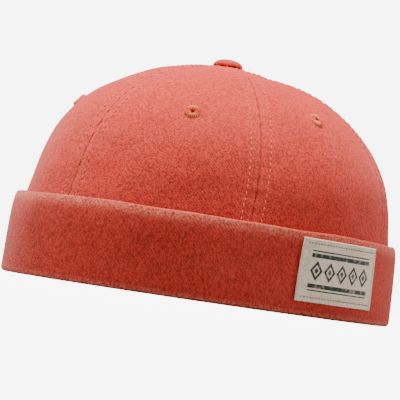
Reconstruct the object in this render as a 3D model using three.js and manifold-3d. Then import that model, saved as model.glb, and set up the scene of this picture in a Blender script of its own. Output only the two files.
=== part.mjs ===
// Docker beanie: a brimless six-panel cotton cap with a turned-up cuff, an arched opening at the
// back and a snap strap across it.
// Millimetres, +Z up. The wearer's front is -Y and the wearer's left is +X.
// The origin is on the floor under the middle of the rim, on which the hat rests.
// A place on the hat is an angle, a height and a level distance out from the crown's cloth.
// The angle is 0 at the front and grows towards the wearer's left.

import * as THREE from "three";
import { mergeVertices } from "three/addons/utils/BufferGeometryUtils.js";
import Module from "manifold-3d";

const wasm = await Module();
wasm.setup();

// Gap left between two pieces that touch on the real hat
const CLEARANCE = 0.3;

// Crown
const CROWN_HALF_WIDTH = 87.6;
const CROWN_HALF_LENGTH = 102.6;
const CROWN_HEIGHT = 118;
const CROWN_WALL = 1.3;
const CROWN_DRIFT = 2.5;
const PANEL_BULGE = 1.2;
const TIP_RADIUS = 3.5;

// Gores in turn from the front, and where each has its eyelet: the turn is off the gore's middle
const GORES = [
  { place: "front_left", eyeletTurn: degrees(4.5), eyeletBelowApex: 31 },
  { place: "left", eyeletTurn: degrees(-4), eyeletBelowApex: 25 },
  { place: "back_left", eyeletTurn: 0, eyeletBelowApex: 28 },
  { place: "back_right", eyeletTurn: 0, eyeletBelowApex: 28 },
  { place: "right", eyeletTurn: degrees(3), eyeletBelowApex: 27 },
  { place: "front_right", eyeletTurn: degrees(-4), eyeletBelowApex: 30 },
];

// Crown from the rim to the apex: its height, half width and half length as shares of the named
// sizes, and how far it drifts to the back as a share of CROWN_DRIFT
const CROWN_PROFILE = [
  { height: 0, width: 1, length: 1, back: 0 },
  { height: 0.18, width: 0.993, length: 0.98, back: 0 },
  { height: 0.366, width: 0.977, length: 0.932, back: 0.2 },
  { height: 0.51, width: 0.956, length: 0.888, back: 0.4 },
  { height: 0.635, width: 0.896, length: 0.829, back: 0.5 },
  { height: 0.742, width: 0.801, length: 0.742, back: 0.5 },
  { height: 0.826, width: 0.687, length: 0.635, back: 0.35 },
  { height: 0.891, width: 0.552, length: 0.511, back: 0.1 },
  { height: 0.938, width: 0.403, length: 0.372, back: -0.3 },
  { height: 0.971, width: 0.22, length: 0.203, back: -0.7 },
  { height: 1, width: 0, length: 0, back: -1 },
];

// Cuff
const CUFF_HEIGHT = 40;
const CUFF_WALL = 2.6;
const CUFF_DRAW_IN = 0.9;
const CUFF_ROLL = 2;
const CUFF_RIPPLE = 0.3;
const FOLD_THICKNESS = 2;
const FOLD_ROUND = 1;
const RETURN_HEIGHT = 8;
const RETURN_WALL = 1;

// Waves round the cuff's top fold, with their strength as a share of CUFF_RIPPLE
const CUFF_WAVES = [
  { waves: 5, strength: 0.6, phase: 0.7 },
  { waves: 9, strength: 0.5, phase: 2.6 },
  { waves: 16, strength: 0.35, phase: 4.4 },
];

// Arched opening at the back
const ARCH_HALF_WIDTH = 49.3;
const ARCH_HEIGHT = 60;
const ARCH_POWER = 2.4;
const TAB_ROUND = 5;

// Sweatband
const BAND_LIFT = 5;
const BAND_HEIGHT = 34;
const BAND_WALL = 1;
const BAND_SETBACK = 2.5;
const BAND_LEAN_HEIGHT = 8;

// Strap and its press stud
const STRAP_LIFT = 2.5;
const STRAP_HEIGHT = 18;
const STRAP_WALL = 1.5;
const STRAP_TUCK = 12;
const STRAP_OVERLAP = 25;
const STRAP_RUNOUT = 3;
const STRAP_PUCKER = 0.4;
const PUCKER_COUNT = 9;
const SNAP_FROM_EDGE = 13.4;
const SNAP_SEAT = 0.6;
const CAP_RADIUS = 6.2;
const CAP_HEIGHT = 2.6;
const POST_RADIUS = 1.5;
const RING_RADIUS = 4.3;
const RING_HEIGHT = 1.3;

// Patch on the wearer's left
const PATCH_ANGLE = degrees(91);
const PATCH_LENGTH = 54.6;
const PATCH_WALL = 0.9;
const PATCH_BELOW_TOP = 3;
const PATCH_ABOVE_RIM = 7;

// Eyelets and top button
const EYELET_RADIUS = 4;
const EYELET_HEIGHT = 1;
const EYELET_HOLE_RADIUS = 0.9;
const EYELET_HOLE_DEPTH = 8;
const BUTTON_RADIUS = 7.5;
const BUTTON_HEIGHT = 3.2;
const BUTTON_STUB_LENGTH = 3;

// Fineness of the facets
const SIDES_AROUND = 60;
const PANEL_ROWS = 11;
const SMALL_SIDES = 14;
const BUTTON_SIDES = 20;
const ARCH_STRETCHES = 22;

const cloth = new THREE.MeshStandardMaterial({ name: "cotton", color: 0xb4463a, roughness: 0.95 });
const lining = new THREE.MeshStandardMaterial({ name: "lining", color: 0x96372e, roughness: 0.95 });
const thread = new THREE.MeshStandardMaterial({ name: "thread", color: 0xee9072, roughness: 0.8 });
const twill = new THREE.MeshStandardMaterial({ name: "twill", color: 0xc8b1a4, roughness: 0.9 });
const brass = new THREE.MeshStandardMaterial({
  name: "brass",
  color: 0x5a4632,
  roughness: 0.4,
  metalness: 1,
});

function degrees(angle) {
  return THREE.MathUtils.degToRad(angle);
}

// Where a rising or falling function of 0 to 1 reaches a target
function whereReached(rule, target) {
  const rises = rule(1) > rule(0);
  let low = 0;
  let high = 1;
  for (let step = 0; step < 40; step += 1) {
    const middle = (low + high) / 2;
    if (rule(middle) < target === rises) low = middle;
    else high = middle;
  }
  return (low + high) / 2;
}

function smoothCurve(points) {
  return new THREE.CatmullRomCurve3(points, false, "catmullrom");
}

const sizeCurve = smoothCurve(
  CROWN_PROFILE.map((row) => new THREE.Vector3(row.width, row.length, row.height)),
);
const driftCurve = smoothCurve(CROWN_PROFILE.map((row) => new THREE.Vector3(0, row.back, 0)));

// Crown's half width, half length, height and drift at a share of its curve, rim to apex
function crownSize(share) {
  const shares = sizeCurve.getPoint(share);
  return {
    halfWidth: CROWN_HALF_WIDTH * shares.x,
    halfLength: CROWN_HALF_LENGTH * shares.y,
    height: CROWN_HEIGHT * shares.z,
    drift: CROWN_DRIFT * driftCurve.getPoint(share).y,
  };
}

function crownShareAtHeight(height) {
  return whereReached((share) => crownSize(share).height, height);
}

function crownShareAtHalfLength(halfLength) {
  return whereReached((share) => crownSize(share).halfLength, halfLength);
}

// Point on the crown's outer face, before the gores swell
function crownPoint(angle, share) {
  const { halfWidth, halfLength, height, drift } = crownSize(share);
  return new THREE.Vector3(halfWidth * Math.sin(angle), drift - halfLength * Math.cos(angle), height);
}

function crownNormal(angle, share) {
  const step = 1e-4;
  const along = crownPoint(angle + step, share).sub(crownPoint(angle - step, share));
  const up = crownPoint(angle, share + step).sub(crownPoint(angle, share - step));
  return along.cross(up).normalize();
}

// Level direction straight out of the hat
function outward(angle) {
  return new THREE.Vector3(
    CROWN_HALF_LENGTH * Math.sin(angle),
    -CROWN_HALF_WIDTH * Math.cos(angle),
    0,
  ).normalize();
}

// Point at a height, and a level distance out from the crown's cloth
function around(angle, height, out) {
  return crownPoint(angle, crownShareAtHeight(height)).addScaledVector(outward(angle), out);
}

// How far a gore's cloth swells out between its seams
function swell(angle, height) {
  const start = STRAP_LIFT + STRAP_HEIGHT;
  const share = THREE.MathUtils.clamp((height - start) / (CROWN_HEIGHT - start), 0, 1);
  return PANEL_BULGE * Math.sin(Math.PI * share) * Math.abs(Math.sin((GORES.length / 2) * angle));
}

// Angle that spans a distance along the rim near an angle
function spanAngle(angle, distance) {
  const rate = Math.hypot(CROWN_HALF_WIDTH * Math.cos(angle), CROWN_HALF_LENGTH * Math.sin(angle));
  return distance / rate;
}

// Both ends and every facet line between them, so that layers keep their gap
function facetAngles(start, end) {
  const step = (2 * Math.PI) / SIDES_AROUND;
  const angles = [start];
  for (let index = Math.floor(start / step + 0.1) + 1; index * step < end - step / 10; index += 1) {
    angles.push(index * step);
  }
  angles.push(end);
  return angles;
}

function cuffTop(angle) {
  return CUFF_HEIGHT + cuffRipple(angle + Math.PI / 3);
}

function cuffRipple(angle) {
  const sum = CUFF_WAVES.reduce(
    (total, row) => total + row.strength * Math.sin(row.waves * angle + row.phase),
    0,
  );
  return CUFF_RIPPLE * sum;
}

// How far the crown has drawn in from the rim at a height
function crownRecess(angle, height) {
  return outward(angle).dot(around(angle, 0, 0).sub(around(angle, height, 0)));
}

// How far the cuff's outer face stands out from the crown: it draws in a little towards the top,
// and the crest rolls in where the crown leaves it room, at the front and back
function cuffFace(angle, height) {
  const share = THREE.MathUtils.clamp(height / CUFF_HEIGHT, 0, 1);
  const roll = CUFF_ROLL * Math.abs(Math.cos(angle)) * share ** 8;
  const stand = CLEARANCE + CUFF_WALL - CUFF_DRAW_IN * share - roll + cuffRipple(angle) * share ** 2;
  return stand + crownRecess(angle, height);
}

// Mesh with its geometry
function piece(name, geometry, material) {
  geometry.computeVertexNormals();
  const mesh = new THREE.Mesh(geometry, material);
  mesh.name = name;
  return mesh;
}

function meshGeometry(points, faces) {
  const geometry = new THREE.BufferGeometry();
  const numbers = points.flatMap((point) => point.toArray());
  geometry.setAttribute("position", new THREE.Float32BufferAttribute(numbers, 3));
  geometry.setIndex(faces);
  return geometry;
}

// Closed solid between an outer and an inner grid of points, grid[column][row]
function shell(outer, inner) {
  const columns = outer.length;
  const rows = outer[0].length;
  const points = [...outer.flat(), ...inner.flat()];
  const faces = [];
  const outside = (column, row) => column * rows + row;
  const inside = (column, row) => columns * rows + column * rows + row;
  const quad = (a, b, c, d) => faces.push(a, b, c, a, c, d);
  const last = columns - 1;
  const top = rows - 1;
  for (let column = 0; column < last; column += 1) {
    const next = column + 1;
    for (let row = 0; row < top; row += 1) {
      quad(outside(column, row), outside(next, row), outside(next, row + 1), outside(column, row + 1));
      quad(inside(column, row), inside(column, row + 1), inside(next, row + 1), inside(next, row));
    }
    quad(inside(column, 0), inside(next, 0), outside(next, 0), outside(column, 0));
    quad(outside(column, top), outside(next, top), inside(next, top), inside(column, top));
  }
  for (let row = 0; row < top; row += 1) {
    quad(inside(0, row), outside(0, row), outside(0, row + 1), inside(0, row + 1));
    quad(outside(last, row), inside(last, row), inside(last, row + 1), outside(last, row + 1));
  }
  return meshGeometry(points, faces);
}

// Closed ring round the hat from a closed section, sectionAt(angle) = [{ out, height }]
function hoop(sectionAt) {
  const sections = [];
  for (let side = 0; side < SIDES_AROUND; side += 1) {
    const angle = (2 * Math.PI * side) / SIDES_AROUND;
    sections.push(sectionAt(angle).map(({ out, height }) => around(angle, height, out)));
  }
  const count = sections[0].length;
  const faces = [];
  for (let side = 0; side < SIDES_AROUND; side += 1) {
    const next = (side + 1) % SIDES_AROUND;
    for (let row = 0; row < count; row += 1) {
      const above = (row + 1) % count;
      const [a, b] = [side * count + row, next * count + row];
      const [c, d] = [next * count + above, side * count + above];
      faces.push(a, b, c, a, c, d);
    }
  }
  return meshGeometry(sections.flat(), faces);
}

// Turned piece about +Z from its half outline, [radius, height] from the lower to the upper end
function turned(outline, sides) {
  const points = outline.map(([radius, height]) => new THREE.Vector2(radius, height));
  return new THREE.LatheGeometry(points, sides).rotateX(Math.PI / 2);
}

function rod(radius, length) {
  return new THREE.CylinderGeometry(radius, radius, length, SMALL_SIDES).rotateX(Math.PI / 2);
}

// Turns a geometry's +Z to a direction and moves its origin to a point
function aimed(geometry, point, direction) {
  const turn = new THREE.Quaternion().setFromUnitVectors(new THREE.Vector3(0, 0, 1), direction);
  return geometry.applyQuaternion(turn).translate(point.x, point.y, point.z);
}

function solid(geometry) {
  geometry.deleteAttribute("normal");
  geometry.deleteAttribute("uv");
  const merged = mergeVertices(geometry, 1e-4);
  return new wasm.Manifold(
    new wasm.Mesh({
      numProp: 3,
      vertProperties: new Float32Array(merged.attributes.position.array),
      triVerts: new Uint32Array(merged.index.array),
    }),
  );
}

// Geometry less each of the cutters
function cut(geometry, ...cutters) {
  let rest = solid(geometry);
  for (const cutter of cutters) rest = rest.subtract(solid(cutter));
  const { vertProperties, triVerts } = rest.getMesh();
  const result = new THREE.BufferGeometry();
  result.setAttribute("position", new THREE.BufferAttribute(new Float32Array(vertProperties), 3));
  result.setIndex(new THREE.BufferAttribute(new Uint32Array(triVerts), 1));
  return result;
}

// Point on the arch's edge, widened by extra: turn runs over the arch from 0 to half a circle
function archPoint(turn, extra) {
  const power = 2 / ARCH_POWER;
  return new THREE.Vector2(
    (ARCH_HALF_WIDTH + extra) * Math.sign(Math.cos(turn)) * Math.abs(Math.cos(turn)) ** power,
    (ARCH_HEIGHT + extra) * Math.sin(turn) ** power,
  );
}

// Cutter for the arched opening, widened by extra, running straight out from the hat's axis
function archCutter(extra) {
  const footTurn = Math.asin((TAB_ROUND / (ARCH_HEIGHT + extra)) ** (ARCH_POWER / 2));
  const foot = archPoint(footTurn, extra);
  const sill = -TAB_ROUND;
  const shape = new THREE.Shape();
  shape.moveTo(foot.x + TAB_ROUND, sill);
  shape.lineTo(foot.x + TAB_ROUND, 0);
  shape.absarc(foot.x + TAB_ROUND, TAB_ROUND, TAB_ROUND, -Math.PI / 2, -Math.PI, true);
  for (let step = 1; step < ARCH_STRETCHES; step += 1) {
    const point = archPoint(footTurn + ((Math.PI - 2 * footTurn) * step) / ARCH_STRETCHES, extra);
    shape.lineTo(point.x, point.y);
  }
  shape.absarc(-foot.x - TAB_ROUND, TAB_ROUND, TAB_ROUND, 0, -Math.PI / 2, true);
  shape.lineTo(-foot.x - TAB_ROUND, sill);
  const geometry = new THREE.ExtrudeGeometry(shape, { depth: 1, bevelEnabled: false, curveSegments: 4 });
  const nearShare = 0.7;
  const farShare = 1.5;
  const place = geometry.attributes.position;
  for (let index = 0; index < place.count; index += 1) {
    const across = place.getX(index);
    const back = CROWN_HALF_LENGTH * Math.sqrt(Math.max(0.05, 1 - (across / CROWN_HALF_WIDTH) ** 2));
    const share = THREE.MathUtils.lerp(farShare, nearShare, place.getZ(index));
    place.setXYZ(index, across * share, back * share, place.getY(index));
  }
  return geometry;
}

const archAngle = Math.asin(ARCH_HALF_WIDTH / CROWN_HALF_WIDTH);
const leftEdge = Math.PI - archAngle;
const rightEdge = Math.PI + archAngle;
const strapTop = STRAP_LIFT + STRAP_HEIGHT;

// How far the strap's inner face stands out: under the cuff at the left edge, over it at the right
function strapOut(angle, height) {
  const runout = spanAngle(leftEdge, STRAP_RUNOUT);
  const share = (angle - leftEdge - runout) / (rightEdge - leftEdge - 2 * runout);
  const inSpan = THREE.MathUtils.clamp(share, 0, 1);
  const risen = THREE.MathUtils.smoothstep(share, 0, 1);
  const pucker = STRAP_PUCKER * Math.sin(PUCKER_COUNT * Math.PI * inSpan) * Math.sin(Math.PI * inSpan);
  return THREE.MathUtils.lerp(CLEARANCE, cuffFace(angle, height) + CLEARANCE, risen) + pucker;
}

const snapAngle = rightEdge + spanAngle(rightEdge, SNAP_FROM_EDGE);
const snapHeight = STRAP_LIFT + STRAP_HEIGHT / 2;
const snapAxis = outward(snapAngle);
const bandOuter = -(CROWN_WALL + RETURN_WALL + 2 * CLEARANCE);
const capSeat = strapOut(snapAngle, snapHeight) + STRAP_WALL + SNAP_SEAT;
const ringSeat = bandOuter - BAND_WALL - SNAP_SEAT;

function snapHole() {
  const length = 2 * (capSeat - ringSeat);
  return aimed(
    rod(POST_RADIUS + CLEARANCE, length),
    around(snapAngle, snapHeight, (capSeat + ringSeat) / 2),
    snapAxis,
  );
}

// One gore between two seams, with half the gap left along each seam
function crownPanel(index) {
  const pitch = (2 * Math.PI) / GORES.length;
  const seams = [index * pitch, (index + 1) * pitch];
  const bottomShare = crownShareAtHeight(FOLD_THICKNESS + CLEARANCE);
  const tipShare = crownShareAtHalfLength(TIP_RADIUS);
  const outer = [];
  const inner = [];
  const angles = facetAngles(...seams);
  for (const seamAngle of angles) {
    const outerColumn = [];
    const innerColumn = [];
    for (let row = 0; row <= PANEL_ROWS; row += 1) {
      const share = THREE.MathUtils.lerp(bottomShare, tipShare, row / PANEL_ROWS);
      const angle = seamAngle + seamInset(seamAngle, seams, share);
      const normal = crownNormal(angle, share);
      const { height } = crownSize(share);
      const point = crownPoint(angle, share).addScaledVector(normal, swell(angle, height));
      outerColumn.push(point);
      innerColumn.push(point.clone().addScaledVector(normal, -CROWN_WALL));
    }
    outer.push(outerColumn);
    inner.push(innerColumn);
  }
  return shell(outer, inner);
}

// Small turn that keeps an edge column half a gap away from its seam
function seamInset(angle, [first, last], share) {
  if (angle !== first && angle !== last) return 0;
  const { halfWidth, halfLength } = crownSize(share);
  const seamLength = Math.hypot(halfWidth * Math.sin(angle), halfLength * Math.cos(angle));
  const turn = Math.asin(((CLEARANCE / 2) * seamLength) / (halfWidth * halfLength));
  return angle === first ? turn : -turn;
}

function crownPanelPiece({ place }, index) {
  const cutters = [eyeletHole(index)];
  if (place.startsWith("back")) cutters.push(archCutter(0));
  if (place === "back_right") cutters.push(snapHole());
  return piece(`crown_panel_${place}`, cut(crownPanel(index), ...cutters), cloth);
}

function eyeletSpot(index) {
  const { eyeletTurn, eyeletBelowApex } = GORES[index];
  const angle = ((index + 0.5) * 2 * Math.PI) / GORES.length + eyeletTurn;
  const height = CROWN_HEIGHT - eyeletBelowApex;
  const share = crownShareAtHeight(height);
  const normal = crownNormal(angle, share);
  return { point: crownPoint(angle, share).addScaledVector(normal, swell(angle, height)), normal };
}

function eyeletHole(index) {
  const { point, normal } = eyeletSpot(index);
  return aimed(rod(EYELET_HOLE_RADIUS, EYELET_HOLE_DEPTH), point, normal);
}

function eyelet({ place }, index) {
  const { point, normal } = eyeletSpot(index);
  const outline = [
    [EYELET_HOLE_RADIUS, 0],
    [EYELET_RADIUS, 0],
    [EYELET_RADIUS * 0.97, EYELET_HEIGHT * 0.6],
    [EYELET_RADIUS * 0.75, EYELET_HEIGHT],
    [EYELET_RADIUS * 0.42, EYELET_HEIGHT * 0.9],
    [EYELET_HOLE_RADIUS, EYELET_HEIGHT * 0.45],
    [EYELET_HOLE_RADIUS, 0],
  ];
  const seat = point.clone().addScaledVector(normal, CLEARANCE);
  return piece(`eyelet_${place}`, aimed(turned(outline, SMALL_SIDES), seat, normal), thread);
}

// Button whose underside follows the cloth round the apex
function topButton() {
  const underside = (radius) => crownSize(crownShareAtHalfLength(radius)).height + CLEARANCE;
  const stubRadius = TIP_RADIUS - 1;
  const brim = underside(BUTTON_RADIUS);
  const crest = CROWN_HEIGHT + BUTTON_HEIGHT;
  const outline = [
    [0, CROWN_HEIGHT - BUTTON_STUB_LENGTH],
    [stubRadius, CROWN_HEIGHT - BUTTON_STUB_LENGTH],
    [stubRadius, underside(stubRadius)],
    [BUTTON_RADIUS * 0.95, underside(BUTTON_RADIUS * 0.95)],
    [BUTTON_RADIUS, THREE.MathUtils.lerp(brim, crest, 0.22)],
    [BUTTON_RADIUS * 0.86, THREE.MathUtils.lerp(brim, crest, 0.62)],
    [BUTTON_RADIUS * 0.5, THREE.MathUtils.lerp(brim, crest, 0.92)],
    [0, crest],
  ];
  const button = turned(outline, BUTTON_SIDES).translate(0, crownSize(1).drift, 0);
  return piece("top_button", button, cloth);
}

// J-shaped section: outer wall, crest, inner wall, the fold's floor and the short return inside
function cuffSection(angle) {
  const half = CUFF_WALL / 2;
  const shoulder = cuffTop(angle) - half;
  const rows = [0, 0.2, 0.5, 0.8, 1];
  const wall = (low, side) =>
    rows.map((share) => {
      const height = THREE.MathUtils.lerp(low, shoulder, share);
      return { out: cuffFace(angle, height) - side, height };
    });
  const middle = cuffFace(angle, shoulder) - half;
  const crest = [45, 90, 135].map((turn) => ({
    out: middle + half * Math.cos(degrees(turn)),
    height: shoulder + half * Math.sin(degrees(turn)),
  }));
  const returnOuter = -(CROWN_WALL + CLEARANCE);
  const returnInner = returnOuter - RETURN_WALL;
  const face = cuffFace(angle, 0);
  return [
    { out: face - FOLD_ROUND, height: 0 },
    { out: face - FOLD_ROUND * 0.3, height: FOLD_ROUND * 0.3 },
    ...wall(FOLD_ROUND, 0),
    ...crest,
    ...wall(FOLD_THICKNESS, CUFF_WALL).reverse(),
    { out: returnOuter, height: FOLD_THICKNESS },
    { out: returnOuter, height: RETURN_HEIGHT },
    { out: returnInner, height: RETURN_HEIGHT },
    { out: returnInner, height: FOLD_ROUND },
    { out: returnInner + FOLD_ROUND * 0.3, height: FOLD_ROUND * 0.3 },
    { out: returnInner + FOLD_ROUND, height: 0 },
  ];
}

// Room behind the cuff for the strap's tucked end
function strapPocket() {
  const start = leftEdge - spanAngle(leftEdge, STRAP_TUCK + CLEARANCE);
  const end = leftEdge + spanAngle(leftEdge, STRAP_RUNOUT);
  const angles = facetAngles(start, end);
  const heights = [FOLD_THICKNESS, strapTop + CLEARANCE];
  const grid = (out) => angles.map((angle) => heights.map((height) => around(angle, height, out)));
  return shell(grid(STRAP_WALL + 2 * CLEARANCE), grid(0));
}

function cuff() {
  return piece("cuff", cut(hoop(cuffSection), archCutter(0), strapPocket(), snapHole()), cloth);
}

// The band hangs behind the return, and leans out to the crown above the strap
function sweatband() {
  const top = BAND_LIFT + BAND_HEIGHT;
  const lean = RETURN_WALL + CLEARANCE;
  const rows = [
    { height: BAND_LIFT, leant: 0 },
    { height: strapTop, leant: 0 },
    { height: strapTop + BAND_LEAN_HEIGHT, leant: 1 },
    { height: top, leant: 1 },
  ];
  const face = (side) =>
    rows.map(({ height, leant }) => ({ out: bandOuter + lean * leant - side, height }));
  const section = [...face(0), ...face(BAND_WALL).reverse()];
  return piece("sweatband", cut(hoop(() => section), archCutter(BAND_SETBACK), snapHole()), lining);
}

function backStrap() {
  const start = leftEdge - spanAngle(leftEdge, STRAP_TUCK);
  const end = rightEdge + spanAngle(rightEdge, STRAP_OVERLAP);
  const heights = [STRAP_LIFT, snapHeight, strapTop];
  const angles = facetAngles(start, end);
  const grid = (side) =>
    angles.map((angle) => heights.map((height) => around(angle, height, strapOut(angle, height) + side)));
  return piece("back_strap", cut(shell(grid(STRAP_WALL), grid(0)), snapHole()), cloth);
}

// Domed cap outside the strap, with the post that runs through every layer
function snapCap() {
  const postLength = capSeat - ringSeat + RING_HEIGHT;
  const outline = [
    [0, -postLength],
    [POST_RADIUS, -postLength],
    [POST_RADIUS, 0],
    [CAP_RADIUS, 0],
    [CAP_RADIUS, CAP_HEIGHT * 0.3],
    [CAP_RADIUS * 0.84, CAP_HEIGHT * 0.75],
    [CAP_RADIUS * 0.45, CAP_HEIGHT],
    [0, CAP_HEIGHT],
  ];
  const seat = around(snapAngle, snapHeight, capSeat);
  return piece("snap_cap", aimed(turned(outline, SMALL_SIDES), seat, snapAxis), brass);
}

// Ring round the end of the post, inside the hat
function snapRing() {
  const hole = POST_RADIUS + CLEARANCE;
  const outline = [
    [hole, -RING_HEIGHT],
    [RING_RADIUS * 0.85, -RING_HEIGHT],
    [RING_RADIUS, -RING_HEIGHT / 2],
    [RING_RADIUS, 0],
    [hole, 0],
    [hole, -RING_HEIGHT],
  ];
  const seat = around(snapAngle, snapHeight, ringSeat);
  return piece("snap_ring", aimed(turned(outline, SMALL_SIDES), seat, snapAxis), brass);
}

function sidePatch() {
  const halfSpan = spanAngle(PATCH_ANGLE, PATCH_LENGTH / 2);
  const angles = facetAngles(PATCH_ANGLE - halfSpan, PATCH_ANGLE + halfSpan);
  const middle = (PATCH_ABOVE_RIM + CUFF_HEIGHT - PATCH_BELOW_TOP) / 2;
  const heights = [PATCH_ABOVE_RIM, middle, CUFF_HEIGHT - PATCH_BELOW_TOP];
  const grid = (side) =>
    angles.map((angle) =>
      heights.map((height) => around(angle, height, cuffFace(angle, height) + CLEARANCE + side)),
    );
  return piece("side_patch", shell(grid(PATCH_WALL), grid(0)), twill);
}

const beanie = new THREE.Group();
beanie.name = "docker_beanie";
beanie.add(...GORES.map(crownPanelPiece));
beanie.add(...GORES.map(eyelet));
beanie.add(topButton(), cuff(), sweatband(), backStrap(), snapCap(), snapRing(), sidePatch());

export default beanie;
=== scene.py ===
"""Cloth, thread and metal of a docker beanie, made over its solid model."""

import functools
import math

import bpy
import numpy as np
from mathutils import Matrix, Vector


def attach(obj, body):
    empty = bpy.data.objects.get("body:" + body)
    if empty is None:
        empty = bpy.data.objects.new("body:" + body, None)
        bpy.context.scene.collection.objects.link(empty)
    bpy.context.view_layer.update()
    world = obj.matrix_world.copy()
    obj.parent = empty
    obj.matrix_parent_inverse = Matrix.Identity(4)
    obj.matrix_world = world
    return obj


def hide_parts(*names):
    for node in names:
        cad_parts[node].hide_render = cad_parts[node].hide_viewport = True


bl_info = {
    "name": "Docker Beanie",
    "version": (1, 0, 0),
    "blender": (4, 5, 0),
    "location": "3D View > Sidebar > Beanie",
    "description": "Makes the cloth, stitches, eyelets, press stud and patch of a docker beanie",
    "category": "Object",
}

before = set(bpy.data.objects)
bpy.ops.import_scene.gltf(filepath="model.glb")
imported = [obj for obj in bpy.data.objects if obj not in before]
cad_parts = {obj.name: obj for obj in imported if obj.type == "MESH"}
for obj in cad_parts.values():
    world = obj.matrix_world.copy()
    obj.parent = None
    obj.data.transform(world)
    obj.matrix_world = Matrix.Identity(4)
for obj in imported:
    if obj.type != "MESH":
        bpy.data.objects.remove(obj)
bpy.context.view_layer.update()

# Lengths in this file are millimetres, and the meshes are in metres
MM = 0.001
SIXTH = math.pi / 3

# Crown from the rim to the apex: height, half width and half length as shares of the full sizes,
# and drift to the back
CROWN_PROFILE = np.array(
    (
        (0, 1, 1, 0),
        (0.18, 0.993, 0.98, 0),
        (0.366, 0.977, 0.932, 0.2),
        (0.51, 0.956, 0.888, 0.4),
        (0.635, 0.896, 0.829, 0.5),
        (0.742, 0.801, 0.742, 0.5),
        (0.826, 0.687, 0.635, 0.35),
        (0.891, 0.552, 0.511, 0.1),
        (0.938, 0.403, 0.372, -0.3),
        (0.971, 0.22, 0.203, -0.7),
        (1, 0, 0, -1),
    )
)
CROWN_DRIFT = 2.5
CROWN_LENGTH = 185
TIP_RADIUS = 3.5
SWELL = 1.2
CLOTH = 1.3

# Strength, length and seed of the uneven waves in each cloth
CROWN_DENTS = ((0.55, 46, 3), (0.16, 17, 5))
CUFF_DENTS = ((0.3, 30, 11), (0.09, 10, 12))
BAND_WRINKLES = ((0.28, 19, 21), (0.12, 7, 22))
STRAP_WRINKLES = ((0.2, 8, 31),)

# Along a crown seam: rise and length of its puckers, depth of a stitch row's channel, seam's ridge
PUCKER_RISE = 0.24
PUCKER_LENGTH = 7.3
CHANNEL_DEPTH = 0.06
RIDGE_RISE = 0.22

# Gores: height of their lower edge, rows of their mesh, and its lines above the lower edge
GORE_FOOT = 2.3
GORE_ROWS = 82
GORE_FOOT_LINES = (0, 0.05, 0.18, 0.4, 0.75, 1.2, 1.8, 2.4, 3.1)
BACK_GORES = (2, 3)
FAR = 1e9

# Gores in turn from the front: place, turn of its eyelet off the gore's middle, eyelet below apex
GORES = (
    ("front_left", 4.5, 31),
    ("left", -4, 25),
    ("back_left", 0, 28),
    ("back_right", 0, 28),
    ("right", 3, 27),
    ("front_right", -4, 30),
)
TOPSTITCH_OFF_SEAM = 5
HOLE_RADIUS = 0.95
TAPE_HALF_WIDTH = 5
TAPE_HALF_WALL = 0.3

# Cuff
GAP = 0.3
CUFF_DRAW_IN = 0.9
CUFF_ROLL = 2
CUFF_RIPPLE = 0.3
CUFF_WAVES = ((5, 0.6, 0.7), (9, 0.5, 2.6), (16, 0.35, 4.4))
RETURN_HEIGHT = 8
FOLD_HALF = 0.9
FOLD_TURN = 1.2

# Lines of the cuff's mesh: below the top of its return inside, and below its crest
RETURN_LINES = (0, 0.04, 0.16, 0.36, 0.65, 1.2, 2.4, 3.8, 5.9)
CREST_LINES = (2.9, 2.2, 1.6, 1.15, 0.8, 0.5, 0.28, 0.12, 0.03, 0)

# Arched opening at the back
ARCH_HALF_WIDTH = 49.3
ARCH_HEIGHT = 60
ARCH_POWER = 2.4
TAB_ROUND = 5
EDGE_STITCH_IN = 2.5
STITCHED_FROM = 36

# Sweatband
BAND_LIFT = 5
BAND_TOP = 39
BAND_OUTER = -2.9
BAND_WALL = 1
BAND_LEAN = 1.3
BAND_SETBACK = 2.5
BAND_STITCH_IN = 2.2

# Strap
STRAP_LIFT = 2.5
STRAP_WALL = 1.5
STRAP_TUCK = 12
STRAP_OVERLAP = 25
STRAP_RUNOUT = 3
STRAP_PUCKER = 0.4
PUCKERS = 9
STRAP_CORNER = 4
SNAP_FROM_EDGE = 13.4
SNAP_SEAT = 0.6
STRAP_STITCH_IN = 2.4

# Press stud: radius and height out along half of its cap, which stands on a post, and round its ring
CAP_SHANK = ((1.5, -0.5), (4.8, -0.5))
CAP_BRIM = ((5.9, -0.35), (6.15, 0), (6.2, 0.35), (6.1, 0.75), (5.75, 1.05), (5.35, 1.1), (5.1, 0.95))
CAP_DOME = ((4.85, 1.0), (4.5, 1.35), (3.9, 1.75), (3.0, 2.2), (2.0, 2.48), (1.0, 2.59), (0, 2.6))
RING_BORE = ((1.6, 0.1), (1.6, -0.55), (1.85, -0.85), (2.1, -0.8), (2.3, -0.55), (2.7, -0.5), (3.0, -0.75))
RING_BRIM = ((3.3, -1.2), (3.65, -1.3), (4.0, -1.15), (4.25, -0.75), (4.3, -0.3), (4.2, 0.1), (4.0, 0.4))
RING_BACK = ((1.8, 0.4), (1.6, 0.1))

# Patch
PATCH_ANGLE = math.radians(91)
PATCH_WALL = 0.9
PATCH_ABOVE_RIM = 7
PATCH_BELOW_TOP = 3
PATCH_STITCH_IN = 2.3
PATCH_SIDE_STITCH_IN = 1.3

# Print on the patch, from its middle: lozenges with a ring in each, between thick and thin bars
LOZENGE_PITCH = 8.6
LOZENGE_SLANT = 0.82
LOZENGE_HALF = 3.9
RING_OUTER = 2.3
RING_INNER = 1.35
LOZENGES_END = 21.5
BARS_END = 21.3
BAR_AT = 7.2
BAR_HALF = 1.0
THIN_BAR_AT = 9.3
THIN_BAR_HALF = 0.33

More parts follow.
